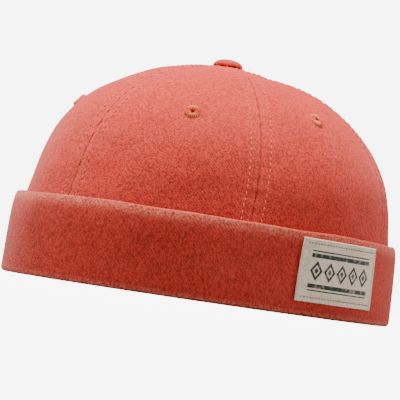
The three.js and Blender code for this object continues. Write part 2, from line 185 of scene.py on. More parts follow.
# Distances from a cloth's edge at which its mesh has a line, so that the edge turns round
EDGE_LINES = (0, 0.04, 0.16, 0.36, 0.65, 1, 1.5, 2.2)
SEAM_LINES = (0, 0.04, 0.16, 0.36, 0.65, 1, 1.6, 2.4, 3.3, 4.1, 4.6, 5, 5.4, 5.9, 6.7)

# Raised fibres of the cotton to a metre
FIBRE_SCALE = 1500.0

# Soft lights: name, place in metres, width in metres, watts
LIGHTS = (
    ("top", (-0.1, -0.22, 1.5), 0.7, 72),
    ("front", (-1.0, -1.0, 0.7), 0.8, 4),
    ("left_rim", (-1.2, 0.1, 0.45), 0.6, 11),
    ("right_rim", (1.0, 0.9, 0.5), 0.6, 9),
    ("back", (0.05, 1.4, 0.3), 0.5, 7),
)
LIGHT_TARGET = (0, 0, 0.06)

# Floor: how far each ring spreads past the last, as a share, and rises, in metres
FLOOR_RINGS = ((5.6, 0), (1.12, 0.06), (1.1, 0.2), (1.06, 0.4), (1.02, 0.8), (1.0, 1.2))
FLOOR_GREYS = (0.28, 0.31)
FLOOR_GLOW = 7.0

# Camera in metres: its place, the hat's middle, and how far left of and below it the camera aims
CAMERA_PLACE = (0.7831, -0.7983, 0.014)
HAT_MIDDLE = (0, 0, 0.058)
AIM_LEFT = 0.00698
AIM_BELOW = 0.00785
CAMERA_ROLL = math.radians(8.5)
CAMERA_LENS = 200.25


def length_property(name, description, default):
    """A length in metres that the sidebar shows in the scene's unit"""
    return bpy.props.FloatProperty(name=name, description=description, default=default, unit="LENGTH")


class BeanieSizes(bpy.types.PropertyGroup):
    """Sizes of the beanie's cloth and trims"""

    crown_half_width: length_property("Crown half width", "From the middle of the rim to its side", 0.0876)
    crown_half_length: length_property("Crown half length", "From the middle of the rim to its front", 0.1026)
    crown_height: length_property("Crown height", "From the rim to the cloth under the button", 0.118)
    cuff_height: length_property("Cuff height", "From the rim to the cuff's top fold", 0.04)
    cuff_wall: length_property("Cuff thickness", "Both layers of the turned-up cuff", 0.0026)
    strap_height: length_property("Strap height", "Height of the strap across the opening", 0.018)
    patch_length: length_property("Patch length", "Length of the patch round the cuff", 0.0546)
    eyelet_radius: length_property("Eyelet radius", "Radius of an embroidered eyelet", 0.004)
    button_radius: length_property("Button radius", "Radius of the covered button on top", 0.0075)
    stitch_length: length_property("Stitch length", "Length of one topstitch", 0.0024)
    stitch_pitch: length_property("Stitch pitch", "Distance from one topstitch to the next", 0.0031)
    thread_radius: length_property("Thread radius", "Half the thickness of the sewing thread", 0.00029)


def colour_property(name, description, default):
    """A colour that the sidebar shows as a swatch"""
    return bpy.props.FloatVectorProperty(
        name=name, description=description, subtype="COLOR", size=3, min=0, max=1, default=default
    )


class BeanieColours(bpy.types.PropertyGroup):
    """Colours of the beanie's cloth, thread and metal"""

    cotton: colour_property("Cotton", "Dyed cotton of the crown and cuff", (0.68, 0.042, 0.027))
    deep_cotton: colour_property("Deep cotton", "Cotton between the raised fibres", (0.33, 0.016, 0.011))
    worn_cotton: colour_property("Worn cotton", "Cotton where the dye has washed out", (0.72, 0.175, 0.115))
    lining: colour_property("Lining", "Sweatband and seam tape", (0.40, 0.022, 0.015))
    thread: colour_property("Thread", "Sewing thread", (0.85, 0.13, 0.085))
    eyelet_thread: colour_property("Eyelet thread", "Thread of the eyelets", (1.0, 0.19, 0.075))
    patch: colour_property("Patch", "Twill of the patch", (0.84, 0.66, 0.49))
    patch_print: colour_property("Patch print", "Print on the patch", (0.008, 0.026, 0.018))
    metal: colour_property("Metal", "Aged metal of the press stud", (0.16, 0.085, 0.045))


def size(name):
    """One of the sizes, in millimetres"""
    return getattr(bpy.context.scene.beanie_sizes, name) / MM


def colour(name):
    """One of the colours, with full alpha"""
    return (*getattr(bpy.context.scene.beanie_colours, name), 1)


# Shape of the hat: a place is an angle from the front towards the wearer's left, and a height or
# a share of the way from the rim to the apex


def crown_size(share):
    """Crown's half width, half length, height and drift"""
    rows = CROWN_PROFILE
    ends = np.vstack([2 * rows[0] - rows[1], rows, 2 * rows[-1] - rows[-2]])
    place = np.clip(np.asarray(share, float), 0, 1) * (len(rows) - 1)
    index = np.minimum(place.astype(int), len(rows) - 2)
    part = (place - index)[..., None]
    before, start, end, after = (ends[index + step] for step in range(4))
    leave = (end - before) / 2
    arrive = (after - start) / 2
    bend = 3 * (end - start) - 2 * leave - arrive
    ease = 2 * (start - end) + leave + arrive
    values = start + part * (leave + part * (bend + part * ease))
    height, width, length, back = np.moveaxis(values, -1, 0)
    return (
        size("crown_half_width") * width,
        size("crown_half_length") * length,
        size("crown_height") * height,
        CROWN_DRIFT * back,
    )


@functools.lru_cache
def crown_table(half_length, height):
    """Shares from rim to apex, with the crown's half length and height at each"""
    shares = np.linspace(0, 1, 3001)
    _, half_lengths, heights, _ = crown_size(shares)
    return shares, half_lengths, heights


def share_at_height(height):
    shares, _, heights = crown_table(size("crown_half_length"), size("crown_height"))
    return np.interp(height, heights, shares)


def share_at_half_length(half_length):
    shares, half_lengths, _ = crown_table(size("crown_half_length"), size("crown_height"))
    return np.interp(half_length, half_lengths[::-1], shares[::-1])


def alike(*values):
    """Values as arrays of one shape"""
    return np.broadcast_arrays(*(np.asarray(value, float) for value in values))


def crown_point(angle, share):
    angle, share = alike(angle, share)
    half_width, half_length, height, drift = crown_size(share)
    return np.stack([half_width * np.sin(angle), drift - half_length * np.cos(angle), height], -1)


def unit(vectors):
    return vectors / np.maximum(np.linalg.norm(vectors, axis=-1, keepdims=True), 1e-9)


def crown_normal(angle, share):
    step = 1e-4
    along = crown_point(angle + step, share) - crown_point(angle - step, share)
    up = crown_point(angle, share + step) - crown_point(angle, share - step)
    return unit(np.cross(along, up))


def outward(angle):
    """Level direction straight out of the hat"""
    angle = np.asarray(angle, float)
    across = size("crown_half_length") * np.sin(angle)
    back = -size("crown_half_width") * np.cos(angle)
    return unit(np.stack([across, back, 0 * angle], -1))


def around(angle, height, out):
    """Point at a height, and a level distance out from the crown's cloth"""
    angle, height, out = alike(angle, height, out)
    return crown_point(angle, share_at_height(height)) + outward(angle) * out[..., None]


def arc_rate(angle, half_width, half_length):
    """Distance along an oval to a radian"""
    return np.hypot(half_width * np.cos(angle), half_length * np.sin(angle))


def arc_lengths(angles, half_width, half_length):
    """Distances along an oval from the first of the angles"""
    rates = arc_rate(angles, half_width, half_length)
    return np.concatenate([[0], np.cumsum((rates[1:] + rates[:-1]) / 2 * np.diff(angles))])


def run_along(points):
    """Distances along a line of points from the first of them"""
    return np.concatenate([[0], np.cumsum(np.linalg.norm(np.diff(points, axis=0), axis=1))])


def span_angle(angle, distance):
    """Angle that spans a distance along the rim"""
    return distance / float(arc_rate(angle, size("crown_half_width"), size("crown_half_length")))


@functools.lru_cache
def rim_table(half_width, half_length):
    """Angles once round the rim and half round again, with their distance along it from the front"""
    angles = np.linspace(-math.pi, 2 * math.pi, 4321)
    lengths = arc_lengths(angles, half_width, half_length)
    return angles, lengths - np.interp(0, angles, lengths)


def rim_length(angle):
    angles, lengths = rim_table(size("crown_half_width"), size("crown_half_length"))
    return np.interp(angle, angles, lengths)


def rim_angle(length):
    angles, lengths = rim_table(size("crown_half_width"), size("crown_half_length"))
    return np.interp(length, lengths, angles)


def smooth(low, high, value):
    share = np.clip((np.asarray(value, float) - low) / (high - low), 0, 1)
    return share * share * (3 - 2 * share)


def bell(value, centre, width):
    """1 at the centre, falling smoothly to 0 on both sides"""
    return np.exp(-(((value - centre) / width) ** 2))


def inset(value, low, high):
    """Distance in from the nearer of two ends"""
    return np.minimum(value - low, high - value)


def soft_waves(points, length, seed):
    """Uneven waves of about a length through space, from about -1 to 1"""
    chance = np.random.default_rng(seed)
    total = 0
    for _ in range(9):
        way = chance.normal(size=3)
        way /= np.linalg.norm(way) * length * chance.uniform(0.7, 1.5)
        total = total + np.sin(points @ way * 2 * math.pi + chance.uniform(0, 2 * math.pi))
    return total / 4


def relief(waves, points, stretch=1):
    """Uneven waves of some strengths and lengths, drawn out upwards where stretch is under 1"""
    points = points * np.array([1, 1, stretch])
    return sum(strength * soft_waves(points, length, seed) for strength, length, seed in waves)


def swell(angle, height):
    start = STRAP_LIFT + size("strap_height")
    share = np.clip((height - start) / (size("crown_height") - start), 0, 1)
    return SWELL * np.sin(math.pi * share) * np.abs(np.sin(3 * np.asarray(angle)))


def seam_distance(angle, share):
    """Distance from the nearest crown seam, along the cloth"""
    nearest = np.round(np.asarray(angle) / SIXTH) * SIXTH
    return np.abs(angle - nearest) * arc_rate(nearest, *crown_size(share)[:2])


def row_scale(share):
    """How far the seam's lines draw together where the gores grow narrow"""
    half_width, half_length, _, _ = crown_size(share)
    reach = (half_width + half_length) / 2 * SIXTH / 2
    return np.minimum(1, 0.75 * reach / SEAM_LINES[-1])


def crown_relief(angle, share):
    """Small shape of the crown's cloth: dents, puckers between the stitch rows, and their channels"""
    angle, share = alike(angle, share)
    points = crown_point(angle, share)
    dents = relief(CROWN_DENTS, points) * smooth(40, 56, points[..., 2])
    distance = seam_distance(angle, share) / row_scale(share)
    run = share * CROWN_LENGTH + 40 * np.round(angle / SIXTH)
    rises = np.sin(run * 2 * math.pi / PUCKER_LENGTH + 1.5 * np.sin(run / 9))
    pucker = PUCKER_RISE * rises * bell(distance, 0, 4.4)
    channel = -CHANNEL_DEPTH * bell(distance, TOPSTITCH_OFF_SEAM, 0.9)
    ridge = RIDGE_RISE * bell(distance, 2.6, 2.2)
    return (dents + pucker + channel + ridge) * smooth(0.985, 0.94, share)


def crown_face(angle, share, depth=0.0):
    """Point on the crown's outer face, or a depth below it"""
    angle, share = alike(angle, share)
    height = crown_size(share)[2]
    out = swell(angle, height) + crown_relief(angle, share) - depth
    return crown_point(angle, share) + crown_normal(angle, share) * out[..., None]


def cuff_ripple(angle):
    return CUFF_RIPPLE * sum(
        strength * np.sin(waves * np.asarray(angle) + phase) for waves, strength, phase in CUFF_WAVES
    )


def cuff_top(angle):
    return size("cuff_height") + cuff_ripple(angle + SIXTH)


def cuff_relief(angle, height):
    share = np.clip(np.asarray(height) / size("cuff_height"), 0, 1)
    return relief(CUFF_DENTS, around(angle, height, 0), 0.55) * share


def cuff_face(angle, height):
    """How far the cuff's outer face stands out from the crown's cloth"""
    share = np.clip(np.asarray(height, float) / size("cuff_height"), 0, 1)
    roll = CUFF_ROLL * np.abs(np.cos(angle)) * share**8
    stand = GAP + size("cuff_wall") - CUFF_DRAW_IN * share - roll + cuff_ripple(angle) * share**2
    recess = np.sum(outward(angle) * (around(angle, 0, 0) - around(angle, height, 0)), -1)
    return stand + recess + cuff_relief(angle, height)


def arch_line(extra=0.0):
    """Half of the opening's edge, from its foot to its top: angle off the middle back, height"""
    foot_turn = math.asin((TAB_ROUND / (ARCH_HEIGHT + extra)) ** (ARCH_POWER / 2))
    turns = np.linspace(foot_turn, math.pi / 2, 400)
    power = 2 / ARCH_POWER
    across = (ARCH_HALF_WIDTH + extra) * np.abs(np.cos(turns)) ** power
    heights = (ARCH_HEIGHT + extra) * np.sin(turns) ** power
    flare = np.linspace(0, math.pi / 2, 24, endpoint=False)
    flare_across = across[0] + TAB_ROUND * (1 - np.sin(flare))
    flare_heights = TAB_ROUND * (1 - np.cos(flare))
    across = np.concatenate([flare_across, across])
    heights = np.concatenate([flare_heights, heights])
    return np.arcsin(across / size("crown_half_width")), heights


def tab_edge(height, extra=0.0):
    """Angle at which the cloth ends at the opening, at a height"""
    offs, heights = arch_line(extra)
    return math.pi - np.interp(height, heights, offs)


def arch_side(index):
    """Line of the opening's edge beside a back gore: angles and heights"""
    offs, heights = arch_line()
    return math.pi + (-offs if index == BACK_GORES[0] else offs), heights


def arch_height(angle):
    """Height of the opening's edge above an angle, and 0 beside the opening"""
    offs, heights = arch_line()
    return np.interp(np.abs(angle - math.pi), offs[::-1], heights[::-1], right=0)


def rounding(distance, radius):
    """Share of its thickness that a cloth has at a distance from its edge"""
    share = np.clip(distance / radius, 0, 1)
    return np.sqrt(1 - (1 - share) ** 2)


def hemmed(half, border, radius):
    """Half thickness of a cloth that turns round at its border, 0 along the edges of its mesh"""
    half = half * rounding(border, radius)
    half[[0, -1], :] = 0
    half[:, [0, -1]] = 0
    return half


# Making meshes


def deselect_all():
    if bpy.context.object and bpy.context.object.mode != "OBJECT":
        bpy.ops.object.mode_set(mode="OBJECT")
    bpy.ops.object.select_all(action="DESELECT")


def pick(*pieces):
    deselect_all()
    for piece in pieces:
        piece.select_set(True)
    bpy.context.view_layer.objects.active = pieces[0]


def grid_mesh(points, uv, wear_and_seam_shade):
    """A grid primitive with each of its points moved to its place"""
    rows, columns = points.shape[:2]
    deselect_all()
    bpy.ops.mesh.primitive_grid_add(
        x_subdivisions=columns - 1, y_subdivisions=rows - 1, size=1, calc_uvs=True
    )
    piece = bpy.context.object
    mesh = piece.data
    mesh.vertices.foreach_set("co", (points * MM).astype(np.float32).ravel())
    corners = np.zeros(len(mesh.loops), np.int32)
    mesh.loops.foreach_get("vertex_index", corners)
    places = uv.reshape(-1, 2)[corners] * 0.01
    mesh.uv_layers[0].data.foreach_set("uv", places.astype(np.float32).ravel())
    # Attribute of washed-out wear where it is above 0, and of painted shade in a seam's groove where it is
    # below 0
    attribute = mesh.attributes.new("wear_and_seam_shade", "FLOAT", "POINT")
    attribute.data.foreach_set("value", wear_and_seam_shade.astype(np.float32).ravel())
    mesh.update()
    return piece


def finished(piece, name, material, merge=True):
    """Closes a mesh where its points meet, turns its faces outwards, names it and gives its material"""
    pick(piece)
    bpy.ops.object.mode_set(mode="EDIT")
    bpy.ops.mesh.select_all(action="SELECT")
    if merge:
        bpy.ops.mesh.remove_doubles(threshold=2e-6)
    bpy.ops.mesh.normals_make_consistent(inside=False)
    bpy.ops.object.mode_set(mode="OBJECT")
    bpy.ops.object.shade_smooth()
    piece.name = name
    piece.data.name = name
    piece.data.materials.clear()
    piece.data.materials.append(material)
    return piece


def cloth_piece(name, middle, normal, half, uv, wear_and_seam_shade, material):
    """Cloth with round edges: half is its half thickness, and is 0 all along its edges"""
    wear_and_seam_shade = np.broadcast_to(wear_and_seam_shade, half.shape)
    face = grid_mesh(middle + normal * half[..., None], uv, wear_and_seam_shade)
    back = grid_mesh(middle - normal * half[..., None], uv, wear_and_seam_shade * 0.4)
    pick(face, back)
    bpy.ops.object.join()
    return finished(bpy.context.object, name, material)


def turned_piece(name, outline, sides, place, axis, material, shape=None):
    """Piece turned about an axis from its half outline of radius and height"""
    outline = np.array(outline, float)
    turns = np.linspace(0, 2 * math.pi, sides + 1)
    run = run_along(outline)[:, None]
    radius, height, run, turns = alike(outline[:, :1], outline[:, 1:], run, turns)
    if shape:
        radius, height = shape(radius, height, turns)
    points = np.stack([radius * np.cos(turns), radius * np.sin(turns), height], -1)
    turn = np.array(Vector((0, 0, 1)).rotation_difference(Vector(axis)).to_matrix())
    points = points @ turn.T + np.asarray(place)
    uv = np.stack([outline[:, 0].max() * turns, run], -1)
    return finished(grid_mesh(points, uv, np.zeros(radius.shape)), name, material)


def place_piece(piece, slot, *nodes):
    """Ties a piece to the hat's body and hides the solids that it stands for; the slot is not used"""
    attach(piece, "root")
    if nodes:
        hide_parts(*nodes)


def spaced(total, pitch, lines=EDGE_LINES):
    """Distances from 0 to a total, close together at both ends"""
    reach = lines[-1]
    count = max(2, round((total - 2 * reach) / pitch))
    middle = np.linspace(reach, total - reach, count + 1)[1:-1]
    return np.concatenate([lines, middle, total - np.array(lines)[::-1]])


def stitch_shape():
    """One stitch: a short thread that dips into the cloth at both ends"""
    deselect_all()
    bpy.ops.mesh.primitive_uv_sphere_add(segments=6, ring_count=7, radius=1)
    stitch = bpy.context.object
    mesh = stitch.data
    places = np.zeros(len(mesh.vertices) * 3)
    mesh.vertices.foreach_get("co", places)
    along, side, up = places.reshape(-1, 3)[:, [2, 0, 1]].T
    plump = 1 / np.maximum(np.sqrt(1 - np.clip(along, -0.995, 0.995) ** 2), 0.12)
    plump = 1 + (plump - 1) * 0.6
    places = np.stack([along, side * plump, up * plump], -1)
    faces = [tuple(face.vertices) for face in mesh.polygons]
    bpy.data.objects.remove(stitch)
    return places, faces


def sewn_thread(name, rows, material, length=None, pitch=None, radius=None):
    """Stitches along rows, each row a line of points with the cloth's normals"""
    length = length or size("stitch_length")
    pitch = pitch or size("stitch_pitch")
    radius = radius or size("thread_radius")
    shape, shape_faces = stitch_shape()
    points = []
    faces = []
    chance = np.random.default_rng(7)
    for path, normals in rows:
        run = run_along(path)
        for middle in np.arange(pitch / 2, run[-1] - length / 2, pitch):
            middle = middle + chance.normal() * pitch * 0.03
            start, centre, end = (
                np.array([np.interp(middle + step * length / 2, run, path[:, k]) for k in range(3)])
                for step in (-1, 0, 1)
            )
            up = np.array([np.interp(middle, run, normals[:, k]) for k in range(3)])
            way = unit(end - start + chance.normal(size=3) * length * 0.02)
            side = unit(np.cross(up, way))
            up = np.cross(way, side)
            lift = radius * (0.5 - 1.5 * shape[:, :1] ** 4)
            solid = (
                centre
                + way * shape[:, :1] * length / 2
                + side * shape[:, 1:2] * radius
                + up * (shape[:, 2:] * radius + lift)
            )
            base = len(points) * len(shape)
            points.append(solid)
            faces += [tuple(base + corner for corner in face) for face in shape_faces]
    mesh = bpy.data.meshes.new(name)
    mesh.from_pydata((np.concatenate(points) * MM).tolist(), [], faces)
    mesh.validate()
    piece = bpy.data.objects.new(name, mesh)
    bpy.context.scene.collection.objects.link(piece)
    return finished(piece, name, material, merge=False)


def surface_row(face, first, second, inward=False):
    """Points and normals along a line on a face that takes two coordinates"""
    first, second = alike(first, second)
    step = 1e-3
    along = face(first + step, second) - face(first - step, second)
    up = face(first, second + step) - face(first, second - step)
    normal = unit(np.cross(along, up))
    return face(first, second), -normal if inward else normal


def sew(name, rows, thread, slot, **sizes):
    place_piece(sewn_thread(name, rows, thread, **sizes), slot)


# Materials


def put(tree, kind, inputs=None, **settings):
    """Adds a node, sets it and gives its inputs values or links"""
    node = tree.nodes.new(kind)
    for name, value in settings.items():
        setattr(node, name, value)
    for name, value in (inputs or {}).items():
        if isinstance(value, bpy.types.NodeSocket):
            tree.links.new(value, node.inputs[name])
        else:
            node.inputs[name].default_value = value
    return node


def math_node(tree, operation, first, second=0.0, clamp=False):
    inputs = {0: first, 1: second}
    return put(tree, "ShaderNodeMath", inputs, operation=operation, use_clamp=clamp).outputs[0]


def times(tree, first, second, clamp=False):
    return math_node(tree, "MULTIPLY", first, second, clamp)


def plus(tree, first, second):
    return math_node(tree, "ADD", first, second)


def minus(tree, first, second, clamp=False):
    return math_node(tree, "SUBTRACT", first, second, clamp)


def scaled(tree, vector, scale):
    """Vector with each of its parts scaled"""
    return put(tree, "ShaderNodeVectorMath", {0: vector, 1: scale}, operation="MULTIPLY").outputs[0]


def noise(tree, vector, scale, detail=2.0, roughness=0.5, distortion=0.0):
    inputs = {"Vector": vector, "Scale": scale, "Detail": detail}
    inputs.update({"Roughness": roughness, "Distortion": distortion})
    return put(tree, "ShaderNodeTexNoise", inputs).outputs["Fac"]


def wave(tree, vector, scale, distortion, detail, direction="DIAGONAL"):
    inputs = {"Vector": vector, "Scale": scale, "Distortion": distortion, "Detail": detail}
    return put(tree, "ShaderNodeTexWave", inputs, bands_direction=direction).outputs["Fac"]


def mixed(tree, factor, first, second):
    """Colour between two colours"""
    node = tree.nodes.new("ShaderNodeMix")
    node.data_type = "RGBA"
    for index, value in ((0, factor), (6, first), (7, second)):
        if isinstance(value, bpy.types.NodeSocket):
            tree.links.new(value, node.inputs[index])
        else:
            node.inputs[index].default_value = value
    return node.outputs[2]


def remap(tree, value, low, high, to_low=0.0, to_high=1.0, **settings):
    inputs = {"Value": value, "From Min": low, "From Max": high, "To Min": to_low, "To Max": to_high}
    return put(tree, "ShaderNodeMapRange", inputs, **settings).outputs["Result"]


def toned(tone, share):
    """A colour made darker or lighter by a share"""
    return tuple(min(1, value * share) for value in tone[:3]) + (1,)


def new_group(name, inputs, outputs):
    """Node group with its sockets, a vector where an input has no default: returns it and its inputs"""
    tree = bpy.data.node_groups.new(name, "ShaderNodeTree")
    for socket, default in inputs.items():
        kind = "NodeSocketVector" if default is None else "NodeSocketFloat"
        made = tree.interface.new_socket(name=socket, in_out="INPUT", socket_type=kind)
        if default is not None:
            made.default_value = default
    for socket in outputs:
        tree.interface.new_socket(name=socket, in_out="OUTPUT", socket_type="NodeSocketFloat")
    return tree, tree.nodes.new("NodeGroupInput").outputs


def brushed_nap():
    """Raised fibres, streaks and patchy dye of washed cotton"""
    known = bpy.data.node_groups.get("brushed_nap")
    if known:
        return known
    inputs = {"Vector": None, "Thread Lines": None, "Fibre Scale": FIBRE_SCALE, "Streak": 0.5}
    tree, given = new_group("brushed_nap", inputs, ("Fibre", "Dye", "Height"))
    stretch = put(tree, "ShaderNodeCombineXYZ", {"X": 1.0, "Y": 1.0, "Z": given["Streak"]}).outputs[0]
    stretched = scaled(tree, given["Vector"], stretch)
    fine = noise(tree, stretched, given["Fibre Scale"], 2.0, 0.6)
    tufts = noise(tree, stretched, times(tree, given["Fibre Scale"], 0.55), 2.0, 0.5, 0.6)
    patchy = noise(tree, given["Vector"], 60.0, 6.0, 0.7)
    twill = wave(tree, given["Thread Lines"], 38.0, 1.6, 2.0)
    both = plus(tree, times(tree, fine, 0.55), times(tree, tufts, 0.45))
    found = {
        "Fibre": remap(tree, both, 0.41, 0.56),
        "Dye": remap(tree, patchy, 0.33, 0.67),
        "Height": plus(tree, both, times(tree, twill, 0.08)),
    }
    put(tree, "NodeGroupOutput", found)
    return tree


def worn_edge_and_seam_shade():
    """Mottled mask of an edge where the dye has washed out, and the shadow in a seam"""
    known = bpy.data.node_groups.get("worn_edge_and_seam_shade")
    if known:
        return known
    inputs = {"Vector": None, "Wear And Seam Shade": 0, "Mottle Scale": 850}
    tree, given = new_group("worn_edge_and_seam_shade", inputs, ("Mask", "Seam"))
    mottle = noise(tree, given["Vector"], given["Mottle Scale"], 4.0, 0.7)
    uneven = remap(tree, mottle, 0.38, 0.62, 0.0, 1.3)
    mask = times(tree, given["Wear And Seam Shade"], uneven, clamp=True)
    # Painted shade in a seam's groove, where the attribute is below 0
    seam = times(tree, given["Wear And Seam Shade"], -1.0, clamp=True)
    put(tree, "NodeGroupOutput", {"Mask": mask, "Seam": seam})
    return tree


def new_material(name, **surface):
    """New material: returns it, its tree, its shader and the coordinates to place colours by"""
    material = bpy.data.materials.new(name)
    material.use_nodes = True
    tree = material.node_tree
    shader = tree.nodes["Principled BSDF"]
    for socket, value in surface.items():
        shader.inputs[socket.replace("_", " ")].default_value = value
    return material, tree, shader, put(tree, "ShaderNodeTexCoord").outputs


def finish(tree, shader, colour, roughness, height, strength, distance):
    """Gives a shader its colour, its roughness where that changes, and its relief"""
    tree.links.new(colour, shader.inputs["Base Color"])
    if roughness:
        tree.links.new(roughness, shader.inputs["Roughness"])
    inputs = {"Height": height, "Strength": strength, "Distance": distance}
    bump = put(tree, "ShaderNodeBump", inputs)
    tree.links.new(bump.outputs["Normal"], shader.inputs["Normal"])


def cotton_material(name, base, deep, worn, streak=0.8):
    known = bpy.data.materials.get(name)
    if known:
        return known
    material, tree, shader, places = new_material(
        name, Sheen_Weight=0.12, Sheen_Roughness=0.45, Sheen_Tint=(1, 0.5, 0.38, 1), Specular_IOR_Level=0.2
    )
    inputs = {"Vector": places["Object"], "Thread Lines": places["UV"], "Streak": streak}
    nap = put(tree, "ShaderNodeGroup", inputs, node_tree=brushed_nap()).outputs
    wear_and_seam_shade = put(tree, "ShaderNodeAttribute", attribute_name="wear_and_seam_shade").outputs["Fac"]
    inputs = {"Vector": places["Object"], "Wear And Seam Shade": wear_and_seam_shade}
    edge = put(tree, "ShaderNodeGroup", inputs, node_tree=worn_edge_and_seam_shade()).outputs
    dyed = mixed(tree, nap["Fibre"], deep, base)
    patchy = mixed(tree, times(tree, nap["Dye"], 0.08), dyed, worn)
    faded = mixed(tree, edge["Mask"], patchy, worn)
    # Painted shade: the seam's groove darkened to a quarter of the deep cotton
    with_seam_shade = mixed(tree, edge["Seam"], faded, toned(deep, 0.25))
    rough = remap(tree, nap["Fibre"], 0, 1, 0.82, 0.98)
    finish(tree, shader, with_seam_shade, rough, nap["Height"], 0.75, 0.0007)
    return material


def crown_cotton():
    return cotton_material("washed_cotton", colour("cotton"), colour("deep_cotton"), colour("worn_cotton"))


def cuff_cotton_painted_shade():
    # Painted shade: the crown's cotton at 0.85 for the cuff and strap, which lie low and in more shade than
    # the crown
    base, deep = (toned(colour(name), 0.85) for name in ("cotton", "deep_cotton"))
    return cotton_material("cuff_cotton_painted_shade", base, deep, colour("worn_cotton"), streak=0.6)


def lining_cotton():
    lining = colour("lining")
    return cotton_material("lining_cotton", lining, toned(lining, 0.6), colour("cotton"), streak=0.7)


def thread_material(name, base):
    """Twisted thread, with painted shade in the grooves between its plies, so that it is lighter on top of
    them
    """
    known = bpy.data.materials.get(name)
    if known:
        return known
    surface = {"Roughness": 0.85, "Specular_IOR_Level": 0.15}
    material, tree, shader, places = new_material(name, **surface)
    ply = wave(tree, places["Object"], 520.0, 3.0, 1.0)
    fluff = noise(tree, places["Object"], 900.0)
    lit = remap(tree, plus(tree, ply, fluff), 0.5, 1.3)
    # Painted shade: the thread darkened to 0.75 in the grooves between its plies
    finish(tree, shader, mixed(tree, lit, toned(base, 0.75), base), None, ply, 0.4, 0.0001)
    return material


def sewing_thread():
    return thread_material("sewing_thread", colour("thread"))


def satin_material():
    """Embroidery thread laid side by side, with painted shade between the threads"""
    material, tree, shader, places = new_material("eyelet_embroidery", Roughness=0.6)
    laid = wave(tree, places["UV"], 30.0, 0.5, 1.0, "X")
    fluff = noise(tree, places["Object"], 1400.0, 3.0)
    base = colour("eyelet_thread")
    # Painted shade: the thread darkened to 0.45 in the gaps between the laid threads
    painted_gap_shade = mixed(tree, remap(tree, laid, 0.15, 0.7), toned(base, 0.45), base)
    raised = mixed(tree, remap(tree, fluff, 0.45, 0.7), painted_gap_shade, toned(base, 1.25))
    finish(tree, shader, raised, None, laid, 0.5, 0.0002)
    return material


def metal_material():
    """Antique metal, with dark tarnish and bright rubbed patches spread at random"""
    material, tree, shader, places = new_material("aged_metal", Metallic=1.0)
    tarnish = noise(tree, places["Object"], 420.0, 6.0, 0.65)
    dents = noise(tree, places["Object"], 900.0, 3.0)
    base = colour("metal")
    first = mixed(tree, remap(tree, tarnish, 0.38, 0.56), toned(base, 0.35), base)
    second = mixed(tree, remap(tree, tarnish, 0.56, 0.74), first, toned(base, 2.1))
    rough = remap(tree, tarnish, 0.35, 0.7, 0.55, 0.3)
    finish(tree, shader, second, rough, dents, 0.25, 0.0002)
    return material


def patch_material(length, height):
    """Cream twill with a plain geometric print: lozenges in a row between bars"""
    surface = {"Sheen_Weight": 0.15, "Specular_IOR_Level": 0.2}
    material, tree, shader, places = new_material("patch_cloth", **surface)
    twill = wave(tree, places["UV"], 52.0, 0.7, 1.0)
    slubs = noise(tree, places["Object"], 500.0, 4.0)
    grime = noise(tree, places["Object"], 55.0, 5.0)

    def less(value, limit):
        """1 where a value is under a limit, with a soft edge"""
        return remap(tree, value, limit - 0.09, limit + 0.09, 1.0, 0.0, interpolation_type="SMOOTHSTEP")

    def off(value, centre=0.0):
        return math_node(tree, "ABSOLUTE", minus(tree, value, centre))

    across, up, _ = put(tree, "ShaderNodeSeparateXYZ", {"Vector": places["UV"]}).outputs
    across = minus(tree, times(tree, across, 100), length / 2)
    from_middle = off(times(tree, up, 100), height / 2)
    side = off(across)
    place = math_node(tree, "DIVIDE", across, LOZENGE_PITCH)
    cell = times(tree, off(place, math_node(tree, "ROUND", place)), LOZENGE_PITCH)
    slant = plus(tree, cell, times(tree, from_middle, LOZENGE_SLANT))
    ring = minus(tree, less(slant, RING_OUTER), less(slant, RING_INNER))
    inside = less(side, LOZENGES_END)
    lozenge = minus(tree, times(tree, less(slant, LOZENGE_HALF), inside), ring, clamp=True)
    thick = less(off(from_middle, BAR_AT), BAR_HALF)
    thin = less(off(from_middle, THIN_BAR_AT), THIN_BAR_HALF)
    bars = times(tree, math_node(tree, "MAXIMUM", thick, thin), less(side, BARS_END))
    printed = math_node(tree, "MAXIMUM", times(tree, lozenge, inside), bars)
    printed = times(tree, printed, remap(tree, slubs, 0.28, 0.5, 0.55, 1.0))
    base = colour("patch")
    shade = toned(base, 0.74)
    cloth = mixed(tree, remap(tree, slubs, 0.35, 0.65), shade, base)
    cloth = mixed(tree, times(tree, twill, 0.3), cloth, toned(base, 1.1))
    cloth = mixed(tree, remap(tree, grime, 0.5, 0.8, 0.0, 0.3), cloth, shade)
    cloth = mixed(tree, printed, cloth, colour("patch_print"))
    rough = remap(tree, printed, 0, 1, 0.92, 0.7)
    finish(tree, shader, cloth, rough, plus(tree, twill, slubs), 0.35, 0.0002)
    return material


# Pieces


